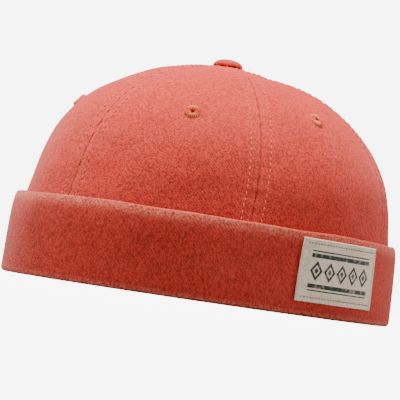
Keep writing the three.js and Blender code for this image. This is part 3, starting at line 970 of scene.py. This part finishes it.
def gore_columns(index):
    """Angle lines of a gore: each one's place between the seams and the share at its lower end"""
    first = index * SIXTH
    table = np.linspace(first, first + SIXTH, 61)

    def lengths(share):
        return arc_lengths(table, *crown_size(share)[:2])

    def seam_lines(run):
        """How far the lines beside a seam draw together, and how far in they reach"""
        scale = min(1, 0.75 * run[-1] / 2 / SEAM_LINES[-1])
        return scale, SEAM_LINES[-1] * scale

    def angle_at(kind, value, share):
        run = lengths(share)
        scale, reach = seam_lines(run)
        if kind == "first":
            distance = value * scale
        elif kind == "last":
            distance = run[-1] - value * scale
        else:
            distance = reach + (run[-1] - 2 * reach) * value
        return float(np.interp(distance, run, table))

    def part_at(angle, share):
        """Place between the two seams' lines, from 0 to 1"""
        run = lengths(share)
        reach = seam_lines(run)[1]
        return (float(np.interp(angle, table, run)) - reach) / (run[-1] - 2 * reach)

    rim_share = float(share_at_height(GORE_FOOT))
    back = index in BACK_GORES
    if not back:
        middles = [(part, rim_share) for part in np.linspace(0, 1, 31)[1:-1]]
    else:
        angles, heights = arch_side(index)
        keep = heights >= GORE_FOOT
        angles, shares = angles[keep], share_at_height(heights[keep])
        run = run_along(crown_point(angles, shares))
        middles = []
        for along in np.arange(0, run[-1], 1.6):
            share = float(np.interp(along, run, shares))
            part = part_at(float(np.interp(along, run, angles)), share)
            if 0 < part < 1:
                middles.append((part, share))
        parts = [part for part, _ in middles]
        ends = (0, min(parts)) if index == BACK_GORES[0] else (max(parts), 1)
        middles += [(part, rim_share) for part in np.linspace(*ends, 13)[1:-1]]
        middles.sort()
    columns = [("first", value, None) for value in SEAM_LINES]
    columns += [("middle", part, share) for part, share in middles]
    columns += [("last", value, None) for value in SEAM_LINES[::-1]]
    found = []
    for kind, value, bottom in columns:
        if bottom is None:
            bottom = rim_share
            for _ in range(6 if back else 0):
                height = max(GORE_FOOT, float(arch_height(angle_at(kind, value, bottom))))
                bottom = float(share_at_height(height))
        found.append((kind, value, bottom))
    return found, angle_at


def arch_distance(index, angles, shares):
    """Distance of a gore's points from the opening's edge"""
    gap = np.full(angles.shape, FAR)
    if index in BACK_GORES:
        line_angles, heights = arch_side(index)
        count = np.arange(len(heights))
        steps = np.linspace(0, len(heights) - 1, 1500)
        edge_heights = np.maximum(np.interp(steps, count, heights), GORE_FOOT)
        edge = crown_point(np.interp(steps, count, line_angles), share_at_height(edge_heights))
        for row, line in enumerate(crown_point(angles, shares)):
            gap[row] = np.linalg.norm(line[:, None] - edge[None], axis=-1).min(1)
        gap[0] = np.where(shares[0] > share_at_height(GORE_FOOT + 0.05), 0, gap[0])
    return gap


def gore(index):
    """One gore of the crown, with the hole of its eyelet"""
    columns, angle_at = gore_columns(index)
    tip = float(share_at_half_length(TIP_RADIUS))
    low = np.array(GORE_FOOT_LINES)
    angles = np.zeros((GORE_ROWS, len(columns)))
    shares = np.zeros_like(angles)
    for column, (kind, value, bottom) in enumerate(columns):
        total = (tip - bottom) * CROWN_LENGTH
        places = np.concatenate([low, np.linspace(low[-1], total, GORE_ROWS - len(low) + 1)[1:]])
        shares[:, column] = bottom + (tip - bottom) * places / total
        angles[:, column] = [angle_at(kind, value, share) for share in shares[:, column]]
    half_width, half_length, heights, _ = crown_size(shares)
    from_seam = seam_distance(angles, shares)
    from_arch = arch_distance(index, angles, shares)
    from_tip = (tip - shares) * CROWN_LENGTH
    from_foot = (shares - share_at_height(GORE_FOOT)) * CROWN_LENGTH
    half = hemmed(CLOTH / 2, np.minimum.reduce([from_seam, from_tip, from_arch, from_foot]), 0.32)
    channel = -0.14 * bell(from_arch, EDGE_STITCH_IN, 0.55)
    out = swell(angles, heights) + crown_relief(angles, shares) + channel - CLOTH / 2
    normal = crown_normal(angles, shares)
    middle = crown_point(angles, shares) + normal * out[..., None]
    across = (angles - (index + 0.5) * SIXTH) * (half_width + half_length) / 2
    uv = np.stack([across, shares * CROWN_LENGTH], -1)
    # Wear on the seam's shoulders, and painted shade in the seam's groove where the value is below 0
    wear_and_seam_shade = 0.18 * bell(from_seam, 1.4, 0.8) - 0.12 * bell(from_seam, 0, 0.4)
    wear_and_seam_shade += 0.6 * bell(from_arch, 0, 1.0) + 0.1 * bell(from_seam, TOPSTITCH_OFF_SEAM, 1.2)
    piece = cloth_piece(f"gore_{GORES[index][0]}", middle, normal, half, uv, wear_and_seam_shade, crown_cotton())
    punch_hole(piece, *eyelet_spot(index), HOLE_RADIUS)
    return piece


def eyelet_spot(index):
    _, turn, below = GORES[index]
    angle = (index + 0.5) * SIXTH + math.radians(turn)
    share = share_at_height(size("crown_height") - below)
    return crown_face(angle, share), crown_normal(angle, share)


def punch_hole(piece, spot, axis, radius):
    """Cuts a round hole through a cloth"""
    deselect_all()
    bpy.ops.mesh.primitive_cylinder_add(vertices=20, radius=radius * MM, depth=8 * MM)
    punch = bpy.context.object
    turn = Vector((0, 0, 1)).rotation_difference(Vector(axis)).to_matrix().to_4x4()
    punch.data.transform(Matrix.Translation(Vector(np.asarray(spot) * MM)) @ turn)
    pick(piece)
    cut = piece.modifiers.new("hole", "BOOLEAN")
    cut.operation = "DIFFERENCE"
    cut.object = punch
    cut.solver = "EXACT"
    bpy.ops.object.modifier_apply(modifier=cut.name)
    bpy.data.objects.remove(punch)


def make_crown():
    for index, (place, _, _) in enumerate(GORES):
        place_piece(gore(index), "cotton", f"crown_panel_{place}")


def seam_rate(seam, shares):
    """Distance along the cloth to a radian, across a seam"""
    return arc_rate(seam * SIXTH, *crown_size(shares)[:2])


def make_seam_tape():
    """Narrow tape over each seam inside the crown"""
    wide = TAPE_HALF_WIDTH
    for seam in range(6):
        bottom = share_at_height(ARCH_HEIGHT + 1 if seam == 3 else BAND_TOP - 3)
        top = share_at_half_length(TIP_RADIUS + 3)
        run = spaced((top - bottom) * CROWN_LENGTH, 3)
        shares = bottom + run[:, None] / CROWN_LENGTH
        offsets = spaced(2 * wide, 1.2, EDGE_LINES[:6])[None, :] - wide
        half_width, half_length, _, _ = crown_size(shares)
        narrow = np.minimum(1, (half_width + half_length) / 2 * SIXTH / 2 / wide * 0.85)
        angles = seam * SIXTH + offsets * narrow / seam_rate(seam, shares)
        angles, shares, offsets = alike(angles, shares, offsets)
        normal = crown_normal(angles, shares)
        middle = crown_face(angles, shares, CLOTH + 0.55)
        border = np.minimum(wide - np.abs(offsets), inset(run, 0, run[-1])[:, None])
        half = hemmed(TAPE_HALF_WALL, border, 0.5)
        uv = np.stack([offsets, shares * CROWN_LENGTH], -1)
        tape = cloth_piece(f"seam_tape_{seam}", middle, -normal, half, uv, 0.0, lining_cotton())
        place_piece(tape, "lining")


def make_topstitching():
    """Rows of stitches beside each crown seam and round the opening"""
    rows = []
    for seam in range(6):
        bottom = share_at_height(ARCH_HEIGHT + 2.5 if seam == 3 else STITCHED_FROM)
        top = share_at_half_length(size("button_radius") + 0.5)
        shares = np.linspace(bottom, top, 240)
        for side in (-1, 1):
            offset = side * TOPSTITCH_OFF_SEAM * row_scale(shares)
            rows.append(surface_row(crown_face, seam * SIXTH + offset / seam_rate(seam, shares), shares))
    offs, heights = arch_line(EDGE_STITCH_IN)
    keep = heights > STITCHED_FROM + 2
    offs, heights = offs[keep], heights[keep]
    angles = np.concatenate([math.pi - offs, math.pi + offs[::-1]])
    shares = share_at_height(np.concatenate([heights, heights[::-1]]))
    rows.append(surface_row(crown_face, angles, shares))
    sew("crown_topstitching", rows, sewing_thread(), "cotton")


def make_eyelets():
    """Rings of satin stitch round a small hole"""
    radius = size("eyelet_radius")
    thread = satin_material()
    turns = np.linspace(0, 2 * math.pi, 17)
    wide = (radius - 0.85) / 2
    centre = radius - wide
    outline = np.stack([centre - wide * np.cos(turns), -0.35 + 1.4 * np.sin(turns)], -1)

    def satin(radii, heights, angles):
        rib = 0.5 - 0.5 * np.cos(angles * 24 + 0.6 * np.sin(2 * angles))
        out = radii - centre
        uneven = 1 + 0.03 * np.sin(5 * angles + 1) + 0.02 * np.sin(11 * angles)
        rise = (heights + 0.35) * (0.74 + 0.26 * rib)
        return centre + out * (0.84 + 0.16 * rib) * uneven, rise - 0.35

    for index, (place, _, _) in enumerate(GORES):
        spot, axis = eyelet_spot(index)
        centre_of_ring = spot + axis * GAP
        ring = turned_piece(f"eyelet_ring_{place}", outline, 204, centre_of_ring, axis, thread, satin)
        place_piece(ring, "eyelet_thread", f"eyelet_{place}")


def make_button():
    """Low button covered with the cotton, clinched inside the crown"""
    radius = size("button_radius")
    apex = size("crown_height")

    def under(distance):
        return float(crown_size(share_at_half_length(distance))[2]) + GAP

    inside = float(crown_size(share_at_half_length(5.2))[2]) - CLOTH
    crest = apex + 3.2
    brim = under(radius)
    dome = [
        (radius * math.cos(turn), brim + 0.5 + (crest - brim - 0.5) * math.sin(turn))
        for turn in np.linspace(0, math.pi / 2, 14)
    ]
    outline = [
        (0, inside - 1.5),
        (3.4, inside - 1.3),
        (5, inside - 0.7),
        (5.2, inside - 0.3),
        (4.6, inside),
        (2.4, inside + 0.2),
        (2.4, under(2.4)),
        (radius * 0.9, under(radius * 0.9)),
        (radius * 0.985, brim + 0.1),
    ] + dome

    def gathers(radii, heights, angles):
        low = smooth(crest - 0.8, brim, heights) * smooth(radius * 0.55, radius, radii)
        folds = 0.12 * np.sin(18 * angles + np.sin(4 * angles)) * low
        top = smooth(brim - 0.5, crest, heights)
        return radii + folds, heights + 0.12 * top * np.sin(2 * angles) * radii / radius

    place = np.array([0, float(crown_size(1.0)[3]), 0])
    button = turned_piece("top_button_cover", outline, 96, place, (0, 0, 1), crown_cotton(), gathers)
    place_piece(button, "cotton", "top_button")


def cuff_rows():
    """Rows of the cuff from the return inside, under the fold and up to the crest: each gives the
    middle line's distance out, height and half thickness at angles"""
    half_wall = size("cuff_wall") / 2
    inside = BAND_OUTER + BAND_LEAN - 0.5
    low = FOLD_HALF + FOLD_TURN
    corner = np.radians(np.linspace(0, 90, 7))[1:]

    def wall_low(angle):
        return cuff_face(angle, low) - half_at(angle, low)

    def returned(height):
        return lambda angle: (inside, height, 0.5)

    def inner_corner(turn):
        half = 0.5 + (FOLD_HALF - 0.5) * turn / (math.pi / 2)
        out = inside + FOLD_TURN * (1 - math.cos(turn))
        return lambda angle: (out, low - FOLD_TURN * math.sin(turn), half)

    def floor(share):
        start = inside + FOLD_TURN
        return lambda angle: (
            start + (wall_low(angle) - FOLD_TURN - start) * share,
            FOLD_HALF,
            FOLD_HALF,
        )

    def outer_corner(turn):
        return lambda angle: (
            wall_low(angle) - FOLD_TURN * (1 - math.sin(turn)),
            FOLD_HALF + FOLD_TURN * (1 - math.cos(turn)),
            FOLD_HALF + (half_at(angle, low) - FOLD_HALF) * turn / (math.pi / 2),
        )

    def wall(share):
        def place(angle):
            height = low + (cuff_top(angle) - CREST_LINES[0] - low) * share
            half = half_at(angle, height)
            return cuff_face(angle, height) - half, height, half

        return place

    def crest(below):
        def place(angle):
            height = cuff_top(angle) - below
            return cuff_face(angle, height) - half_wall, height, half_wall

        return place

    rows = [returned(RETURN_HEIGHT - distance) for distance in RETURN_LINES]
    rows += [inner_corner(turn) for turn in corner]
    rows += [floor(share) for share in (0.35, 0.7, 1)]
    rows += [outer_corner(turn) for turn in corner]
    rows += [wall(share) for share in np.linspace(0, 1, 38)[1:]]
    rows += [crest(below) for below in CREST_LINES[1:]]
    return rows


def cuff_middle(rows, angles):
    """Distance out, height and half thickness of the cuff's middle line, for angles by row"""
    places = [
        [np.broadcast_to(value, line.shape) for value in row(line)] for row, line in zip(rows, angles)
    ]
    return np.moveaxis(np.array(places), 1, 0)


def half_at(angle, height):
    """Cuff's half thickness: thin at the fold, and where the strap's end is tucked in"""
    half_wall = size("cuff_wall") / 2
    full = FOLD_HALF + (half_wall - FOLD_HALF) * smooth(2, 8, height)
    edge = math.pi - math.asin(ARCH_HALF_WIDTH / size("crown_half_width"))
    start = edge - span_angle(edge, STRAP_TUCK + 4)
    tucked = smooth(start, start + span_angle(edge, 4), angle)
    tucked = tucked * smooth(STRAP_LIFT + size("strap_height") + 4, STRAP_LIFT + size("strap_height"), height)
    return full + (0.4 - full) * tucked


def band_places(total, pitch):
    """Places along a band, from its middle and from its nearer end"""
    places = spaced(total, pitch)
    return places - total / 2, inset(places, 0, total)


def fitted_runs(plain, near, edges):
    """Distances along the rim of a band's places, drawn near its ends to the opening's edge"""
    free = smooth(10, 60, near)
    return np.sign(plain) * (edges - near) * (1 - free) + plain * free


def make_cuff():
    """Turned-up cuff that ends at the opening's edge, and the stitches along its ends"""
    plain, near = band_places(2 * float(rim_length(tab_edge(20))), 2.4)
    rows = cuff_rows()
    angles = np.tile(rim_angle(plain), (len(rows), 1))
    for _ in range(2):
        heights = cuff_middle(rows, angles)[1]
        runs = fitted_runs(plain, near, rim_length(tab_edge(heights)))
        angles = rim_angle(runs)
    outs, heights, halves = cuff_middle(rows, angles)
    top_gap = cuff_top(angles) - heights
    top_gap[: len(outs) // 3] = FAR
    lines = len(RETURN_LINES)
    return_gap = np.full(heights.shape, FAR)
    return_gap[:lines] = RETURN_HEIGHT - heights[:lines]
    side_gap = np.broadcast_to(near, heights.shape)
    half = halves * rounding(top_gap, halves) * rounding(return_gap, 0.5)
    half = hemmed(half, side_gap, np.maximum(halves, 0.5))
    middle = around(angles, heights, outs)
    recess = np.sum(outward(angles) * around(angles, heights, 0), -1)
    way_out = np.gradient(outs, axis=0) + np.gradient(recess, axis=0)
    tangent = unit(np.stack([way_out, np.gradient(heights, axis=0)], -1))
    normal = outward(angles) * tangent[..., 1:] + np.array([0, 0, 1]) * -tangent[..., :1]
    steps = np.linalg.norm(np.diff(middle, axis=0), axis=-1).mean(1)
    run = np.concatenate([[0], np.cumsum(steps)])
    uv = np.stack([runs, np.broadcast_to(run[:, None], runs.shape)], -1)
    wear_and_seam_shade = 0.75 * smooth(6.5, 1.8, top_gap) * (0.35 + 0.65 * smooth(0.3, 1.4, top_gap))
    wear_and_seam_shade = wear_and_seam_shade + 0.8 * smooth(3.0, 1.4, heights) * smooth(0.9, 1.1, heights)
    wear_and_seam_shade = wear_and_seam_shade + 0.45 * smooth(1.6, 0.2, side_gap) * (heights > 1.5)
    cuff = cloth_piece("cuff_cloth", middle, normal, half, uv, wear_and_seam_shade, cuff_cotton_painted_shade())
    place_piece(cuff, "cotton", "cuff")
    line_heights = np.linspace(4, STITCHED_FROM + 0.5, 60)
    edge = tab_edge(line_heights, EDGE_STITCH_IN)
    rows = [surface_row(cuff_outer, side * edge, line_heights) for side in (-1, 1)]
    sew("cuff_edge_stitching", rows, sewing_thread(), "cotton")


def cuff_outer(angle, height):
    return around(angle, height, cuff_face(angle, height))


def band_out(height):
    strap_top = STRAP_LIFT + size("strap_height")
    return BAND_OUTER + BAND_LEAN * np.clip((height - strap_top) / 8, 0, 1)


def band_relief(angle, height):
    """Soft upright wrinkles of the sweatband"""
    waves = relief(BAND_WRINKLES, around(angle, height, 0), 0.25)
    return -np.abs(waves) * smooth(BAND_LIFT, BAND_LIFT + 8, height)


def make_sweatband():
    """Sweatband that ends beside the opening's edge, and its stitches"""
    heights = (BAND_LIFT + spaced(BAND_TOP - BAND_LIFT, 1.3))[:, None]
    edges = rim_length(tab_edge(heights, BAND_SETBACK))
    plain, near = band_places(2 * float(edges.max()), 2.2)
    runs = fitted_runs(plain, near, edges)
    angles, heights, near = alike(rim_angle(runs), heights, near)
    out = band_out(heights) - BAND_WALL / 2 + band_relief(angles, heights)
    middle = around(angles, heights, out)
    gap = inset(heights, BAND_LIFT, BAND_TOP)
    half = hemmed(BAND_WALL / 2, np.minimum(gap, near), 0.5)
    uv = np.stack([runs, heights], -1)
    wear_and_seam_shade = 0.3 * smooth(1.4, 0.2, gap) + 0.25 * smooth(1.2, 0.2, near)
    band = cloth_piece("sweatband_cloth", middle, -outward(angles), half, uv, wear_and_seam_shade, lining_cotton())
    place_piece(band, "lining", "sweatband")

    def inner_face(angle, height):
        return around(angle, height, band_out(height) - BAND_WALL + band_relief(angle, height))

    rows = []
    for height in (BAND_LIFT + BAND_STITCH_IN, BAND_TOP - BAND_STITCH_IN):
        edge = float(tab_edge(height, BAND_SETBACK + 1.5))
        rows.append(surface_row(inner_face, np.linspace(-edge, edge, 500), height, inward=True))
    line = np.linspace(8, STITCHED_FROM, 60)
    edge = tab_edge(line, BAND_SETBACK + BAND_STITCH_IN)
    rows += [surface_row(inner_face, side * edge, line, inward=True) for side in (-1, 1)]
    sew("sweatband_stitching", rows, thread_material("lining_thread", colour("cotton")), "lining")


def strap_edges():
    off = math.asin(ARCH_HALF_WIDTH / size("crown_half_width"))
    return math.pi - off, math.pi + off


def wrapped(angle):
    """The same angle between minus and plus half a circle"""
    return (np.asarray(angle) + math.pi) % (2 * math.pi) - math.pi


def strap_out(angle, height):
    """How far the strap's inner face stands out: under the cuff on the left, over it on the right"""
    left, right = strap_edges()
    runout = span_angle(left, STRAP_RUNOUT)
    share = (angle - left - runout) / (right - left - 2 * runout)
    risen = smooth(0, 1, share)
    inside = np.clip(share, 0, 1)
    pucker = STRAP_PUCKER * np.sin(PUCKERS * math.pi * inside) * np.sin(math.pi * inside)
    stand = cuff_face(wrapped(angle), height) + GAP
    return GAP + (stand - GAP) * risen + pucker


def strap_relief(angle, height):
    left, right = strap_edges()
    span = smooth(left, left + 0.08, angle) * smooth(right, right - 0.08, angle)
    return span * relief(STRAP_WRINKLES, around(angle, height, 0), 0.3)


def strap_face(angle, height):
    out = strap_out(angle, height) + STRAP_WALL + strap_relief(angle, height)
    return around(angle, height, out)


def strap_back(angle, height):
    return around(angle, height, strap_out(angle, height) + strap_relief(angle, height))


def make_strap():
    """Strap tucked under the cuff on one side and lapped over it on the other, and its stitches"""
    left, right = strap_edges()
    start = left - span_angle(left, STRAP_TUCK)
    end = right + span_angle(right, STRAP_OVERLAP)
    low = STRAP_LIFT
    high = STRAP_LIFT + size("strap_height")
    heights = (low + spaced(high - low, 1.0))[:, None]
    first = float(rim_length(start))
    total = float(rim_length(end)) - first
    places = spaced(total, 1.3)
    corner_gap = np.clip(STRAP_CORNER - inset(heights, low, high), 0, STRAP_CORNER)
    pull = STRAP_CORNER - np.sqrt(STRAP_CORNER**2 - corner_gap**2)
    runs = first + places - pull * smooth(total - 30, total, places)
    angles, heights, near = alike(rim_angle(runs), heights, inset(places, 0, total))
    middle = (strap_face(angles, heights) + strap_back(angles, heights)) / 2
    gap = inset(heights, low, high)
    half = hemmed(STRAP_WALL / 2, np.minimum(gap, near), 0.75)
    uv = np.stack([runs, heights], -1)
    wear_and_seam_shade = 0.6 * smooth(1.8, 0.2, gap) + 0.4 * smooth(1.6, 0.2, near)
    strap = cloth_piece("back_strap_cloth", middle, outward(angles), half, uv, wear_and_seam_shade, cuff_cotton_painted_shade())
    place_piece(strap, "cotton", "back_strap")
    rows = []
    last = end - span_angle(right, STRAP_STITCH_IN)
    lines = (low + STRAP_STITCH_IN, high - STRAP_STITCH_IN)
    for height in lines:
        rows.append(surface_row(strap_face, np.linspace(left - 0.02, last, 300), height))
        rows.append(surface_row(strap_back, np.linspace(left, right, 260), height, inward=True))
    rows.append(surface_row(strap_face, last, np.linspace(*lines, 30)))
    sew("strap_stitching", rows, sewing_thread(), "cotton")


def make_snap():
    """Press stud: a domed cap outside the strap and a ring inside the hat, joined by a post"""
    _, right = strap_edges()
    angle = right + span_angle(right, SNAP_FROM_EDGE)
    height = STRAP_LIFT + size("strap_height") / 2
    axis = outward(angle)
    metal = metal_material()
    cap_out = float(strap_out(angle, height)) + STRAP_WALL + SNAP_SEAT
    ring_out = BAND_OUTER - BAND_WALL - SNAP_SEAT
    post = cap_out - ring_out + 1.1
    post_end = ((0, -post), (0.9, -post), (1.35, -post + 0.2), (1.5, -post + 0.6))
    cap_outline = post_end + CAP_SHANK + CAP_BRIM + CAP_DOME
    ring_outline = RING_BORE + RING_BRIM + RING_BACK
    parts = (("cap", cap_outline, 64, cap_out), ("ring", ring_outline, 56, ring_out))
    for kind, outline, sides, out in parts:
        place = around(angle, height, out)
        piece = turned_piece(f"snap_{kind}_metal", outline, sides, place, axis, metal)
        place_piece(piece, "snap_metal", f"snap_{kind}")


def make_patch():
    """Cream patch with a geometric print, sewn on the cuff at the wearer's left"""
    length = size("patch_length")
    low = PATCH_ABOVE_RIM
    high = size("cuff_height") - PATCH_BELOW_TOP
    half_span = span_angle(PATCH_ANGLE, length / 2)
    places = spaced(length, 1.1)
    heights = (low + spaced(high - low, 1.0))[:, None]
    angles = PATCH_ANGLE - half_span + 2 * half_span * places / length
    angles, heights, places = alike(angles, heights, places)
    border = np.minimum(inset(heights, low, high), inset(places, 0, length))
    sewn = -0.16 * bell(border, PATCH_STITCH_IN, 0.6)
    lift = 0.12 * smooth(2.0, 0, border)

    def face(angle, height):
        return around(angle, height, cuff_face(angle, height) + GAP + PATCH_WALL)

    out = cuff_face(angles, heights) + GAP + PATCH_WALL / 2 + sewn + lift
    middle = around(angles, heights, out)
    half = hemmed(PATCH_WALL / 2, border, 0.45)
    uv = np.stack([places, heights - low], -1)
    twill = patch_material(length, high - low)
    patch = cloth_piece("side_patch_twill", middle, outward(angles), half, uv, 0.0, twill)
    place_piece(patch, "patch_twill", "side_patch")
    reach = half_span - span_angle(PATCH_ANGLE, PATCH_STITCH_IN)
    line = np.linspace(PATCH_ANGLE - reach, PATCH_ANGLE + reach, 120)
    rows = [surface_row(face, line, height) for height in (low + PATCH_STITCH_IN, high - PATCH_STITCH_IN)]
    dark = thread_material("patch_thread", colour("patch_print"))
    sew("patch_stitching", rows, dark, "patch_twill", length=1.0, pitch=1.9, radius=0.2)
    reach = half_span - span_angle(PATCH_ANGLE, PATCH_SIDE_STITCH_IN)
    line = np.linspace(low + 1, high - 1, 60)
    rows = [surface_row(face, PATCH_ANGLE + side * reach, line) for side in (-1, 1)]
    pale = thread_material("patch_side_thread", colour("patch"))
    sew("patch_side_stitching", rows, pale, "patch_twill", length=1.5, pitch=1.9, radius=0.17)


def soft_light(name, place, wide, power):
    deselect_all()
    bpy.ops.object.light_add(type="AREA", location=place)
    light = bpy.context.object
    light.name = name
    light.data.shape = "DISK"
    light.data.size = wide
    light.data.energy = power
    way = Vector(LIGHT_TARGET) - Vector(place)
    light.rotation_mode = "QUATERNION"
    light.rotation_quaternion = way.to_track_quat("-Z", "Y")


def paper_material():
    """Pale paper that glows to the camera, but not under the hat, where it lies in shade"""
    surface = {"Roughness": 0.9, "Emission_Color": (1, 1, 1, 1)}
    paper, tree, shader, places = new_material("pale_paper", **surface)
    places = places["Object"]
    greys = [(grey, grey, grey, 1) for grey in FLOOR_GREYS]
    tree.links.new(mixed(tree, noise(tree, places, 3.0), *greys), shader.inputs["Base Color"])
    rim_scale = (1 / (size("crown_half_width") * MM), 1 / (size("crown_half_length") * MM), 0)
    from_rim = scaled(tree, places, rim_scale)
    reach = put(tree, "ShaderNodeVectorMath", {0: from_rim}, operation="LENGTH").outputs["Value"]
    glow = remap(tree, reach, 1.0, 1.03, 0.0, FLOOR_GLOW)
    seen = put(tree, "ShaderNodeLightPath").outputs["Is Camera Ray"]
    tree.links.new(times(tree, seen, glow), shader.inputs["Emission Strength"])
    return paper


def make_stage():
    """Pale round floor that turns up far away, soft lights and the camera"""
    deselect_all()
    bpy.ops.mesh.primitive_circle_add(vertices=128, radius=0.5, fill_type="NGON")
    floor = bpy.context.object
    floor.name = "studio_floor"
    bpy.ops.object.mode_set(mode="EDIT")
    bpy.ops.mesh.select_all(action="SELECT")
    for spread, rise in FLOOR_RINGS:
        bpy.ops.mesh.extrude_region_move(TRANSFORM_OT_translate={"value": (0, 0, rise)})
        bpy.ops.transform.resize(value=(spread, spread, 1))
    bpy.ops.mesh.delete(type="ONLY_FACE")
    bpy.ops.object.mode_set(mode="OBJECT")
    pick(floor)
    bpy.ops.object.shade_smooth()
    floor.data.materials.append(paper_material())
    world = bpy.data.worlds.new("studio")
    bpy.context.scene.world = world
    world.use_nodes = True
    sky = world.node_tree.nodes["Background"].inputs
    sky["Color"].default_value = (1, 1, 1, 1)
    sky["Strength"].default_value = 0.1
    for light in LIGHTS:
        soft_light(*light)
    make_camera()


def make_camera():
    """Camera at the photograph's angle round the hat, raised just above the floor"""
    centre = Vector(HAT_MIDDLE)
    place = Vector(CAMERA_PLACE)
    way = (centre - place).normalized()
    level = way.cross(Vector((0, 0, 1))).normalized()
    above = level.cross(way)
    right = level * math.cos(CAMERA_ROLL) + above * math.sin(CAMERA_ROLL)
    up = above * math.cos(CAMERA_ROLL) - level * math.sin(CAMERA_ROLL)
    aim = centre - right * AIM_LEFT - up * AIM_BELOW
    back = (place - aim).normalized()
    right = (right - back * right.dot(back)).normalized()
    up = back.cross(right)
    bpy.ops.object.camera_add(location=place)
    camera = bpy.context.object
    camera.name = "photo_camera"
    camera.data.lens = CAMERA_LENS
    camera.data.clip_start = 0.05
    camera.data.clip_end = 30
    camera.rotation_mode = "QUATERNION"
    camera.rotation_quaternion = Matrix((right, up, back)).transposed().to_quaternion()
    bpy.context.scene.camera = camera


class BeanieCrown(bpy.types.Operator):
    """Makes the six gores of the crown and the tape over their seams"""

    bl_idname = "beanie.crown"
    bl_label = "Crown"

    def execute(self, context):
        make_crown()
        make_seam_tape()
        return {"FINISHED"}


class BeanieTopstitching(bpy.types.Operator):
    """Sews the rows of stitches on the crown"""

    bl_idname = "beanie.topstitching"
    bl_label = "Topstitching"

    def execute(self, context):
        make_topstitching()
        return {"FINISHED"}


class BeanieEyelets(bpy.types.Operator):
    """Embroiders the six eyelets"""

    bl_idname = "beanie.eyelets"
    bl_label = "Eyelets"

    def execute(self, context):
        make_eyelets()
        return {"FINISHED"}


class BeanieButton(bpy.types.Operator):
    """Makes the covered button on top"""

    bl_idname = "beanie.button"
    bl_label = "Button"

    def execute(self, context):
        make_button()
        return {"FINISHED"}


class BeanieCuff(bpy.types.Operator):
    """Makes the turned-up cuff"""

    bl_idname = "beanie.cuff"
    bl_label = "Cuff"

    def execute(self, context):
        make_cuff()
        return {"FINISHED"}


class BeanieSweatband(bpy.types.Operator):
    """Makes the sweatband inside"""

    bl_idname = "beanie.sweatband"
    bl_label = "Sweatband"

    def execute(self, context):
        make_sweatband()
        return {"FINISHED"}


class BeanieStrap(bpy.types.Operator):
    """Makes the strap across the opening"""

    bl_idname = "beanie.strap"
    bl_label = "Strap"

    def execute(self, context):
        make_strap()
        return {"FINISHED"}


class BeanieSnap(bpy.types.Operator):
    """Makes the press stud's cap and ring"""

    bl_idname = "beanie.snap"
    bl_label = "Press stud"

    def execute(self, context):
        make_snap()
        return {"FINISHED"}


class BeaniePatch(bpy.types.Operator):
    """Makes the patch and its stitches"""

    bl_idname = "beanie.patch"
    bl_label = "Patch"

    def execute(self, context):
        make_patch()
        return {"FINISHED"}


class BeanieStage(bpy.types.Operator):
    """Sets up the floor, the lights and the camera"""

    bl_idname = "beanie.stage"
    bl_label = "Stage"

    def execute(self, context):
        make_stage()
        return {"FINISHED"}


OPERATORS = (
    BeanieStage,
    BeanieCrown,
    BeanieTopstitching,
    BeanieEyelets,
    BeanieButton,
    BeanieCuff,
    BeanieSweatband,
    BeanieStrap,
    BeanieSnap,
    BeaniePatch,
)


class BeaniePanel(bpy.types.Panel):
    """Sizes, colours and steps of the beanie"""

    bl_idname = "VIEW3D_PT_beanie"
    bl_label = "Docker Beanie"
    bl_space_type = "VIEW_3D"
    bl_region_type = "UI"
    bl_category = "Beanie"

    def draw(self, context):
        layout = self.layout
        for group in (context.scene.beanie_sizes, context.scene.beanie_colours):
            for name in group.__annotations__:
                layout.prop(group, name)
        for operator in OPERATORS:
            layout.operator(operator.bl_idname)


CLASSES = (BeanieSizes, BeanieColours, *OPERATORS, BeaniePanel)


def register():
    for kind in CLASSES:
        bpy.utils.register_class(kind)
    bpy.types.Scene.beanie_sizes = bpy.props.PointerProperty(type=BeanieSizes)
    bpy.types.Scene.beanie_colours = bpy.props.PointerProperty(type=BeanieColours)


def unregister():
    del bpy.types.Scene.beanie_colours
    del bpy.types.Scene.beanie_sizes
    for kind in reversed(CLASSES):
        bpy.utils.unregister_class(kind)


def main():
    register()
    bpy.ops.beanie.stage()
    bpy.ops.beanie.crown()
    bpy.ops.beanie.topstitching()
    bpy.ops.beanie.eyelets()
    bpy.ops.beanie.button()
    bpy.ops.beanie.cuff()
    bpy.ops.beanie.sweatband()
    bpy.ops.beanie.strap()
    bpy.ops.beanie.snap()
    bpy.ops.beanie.patch()


if __name__ == "__main__":
    main()
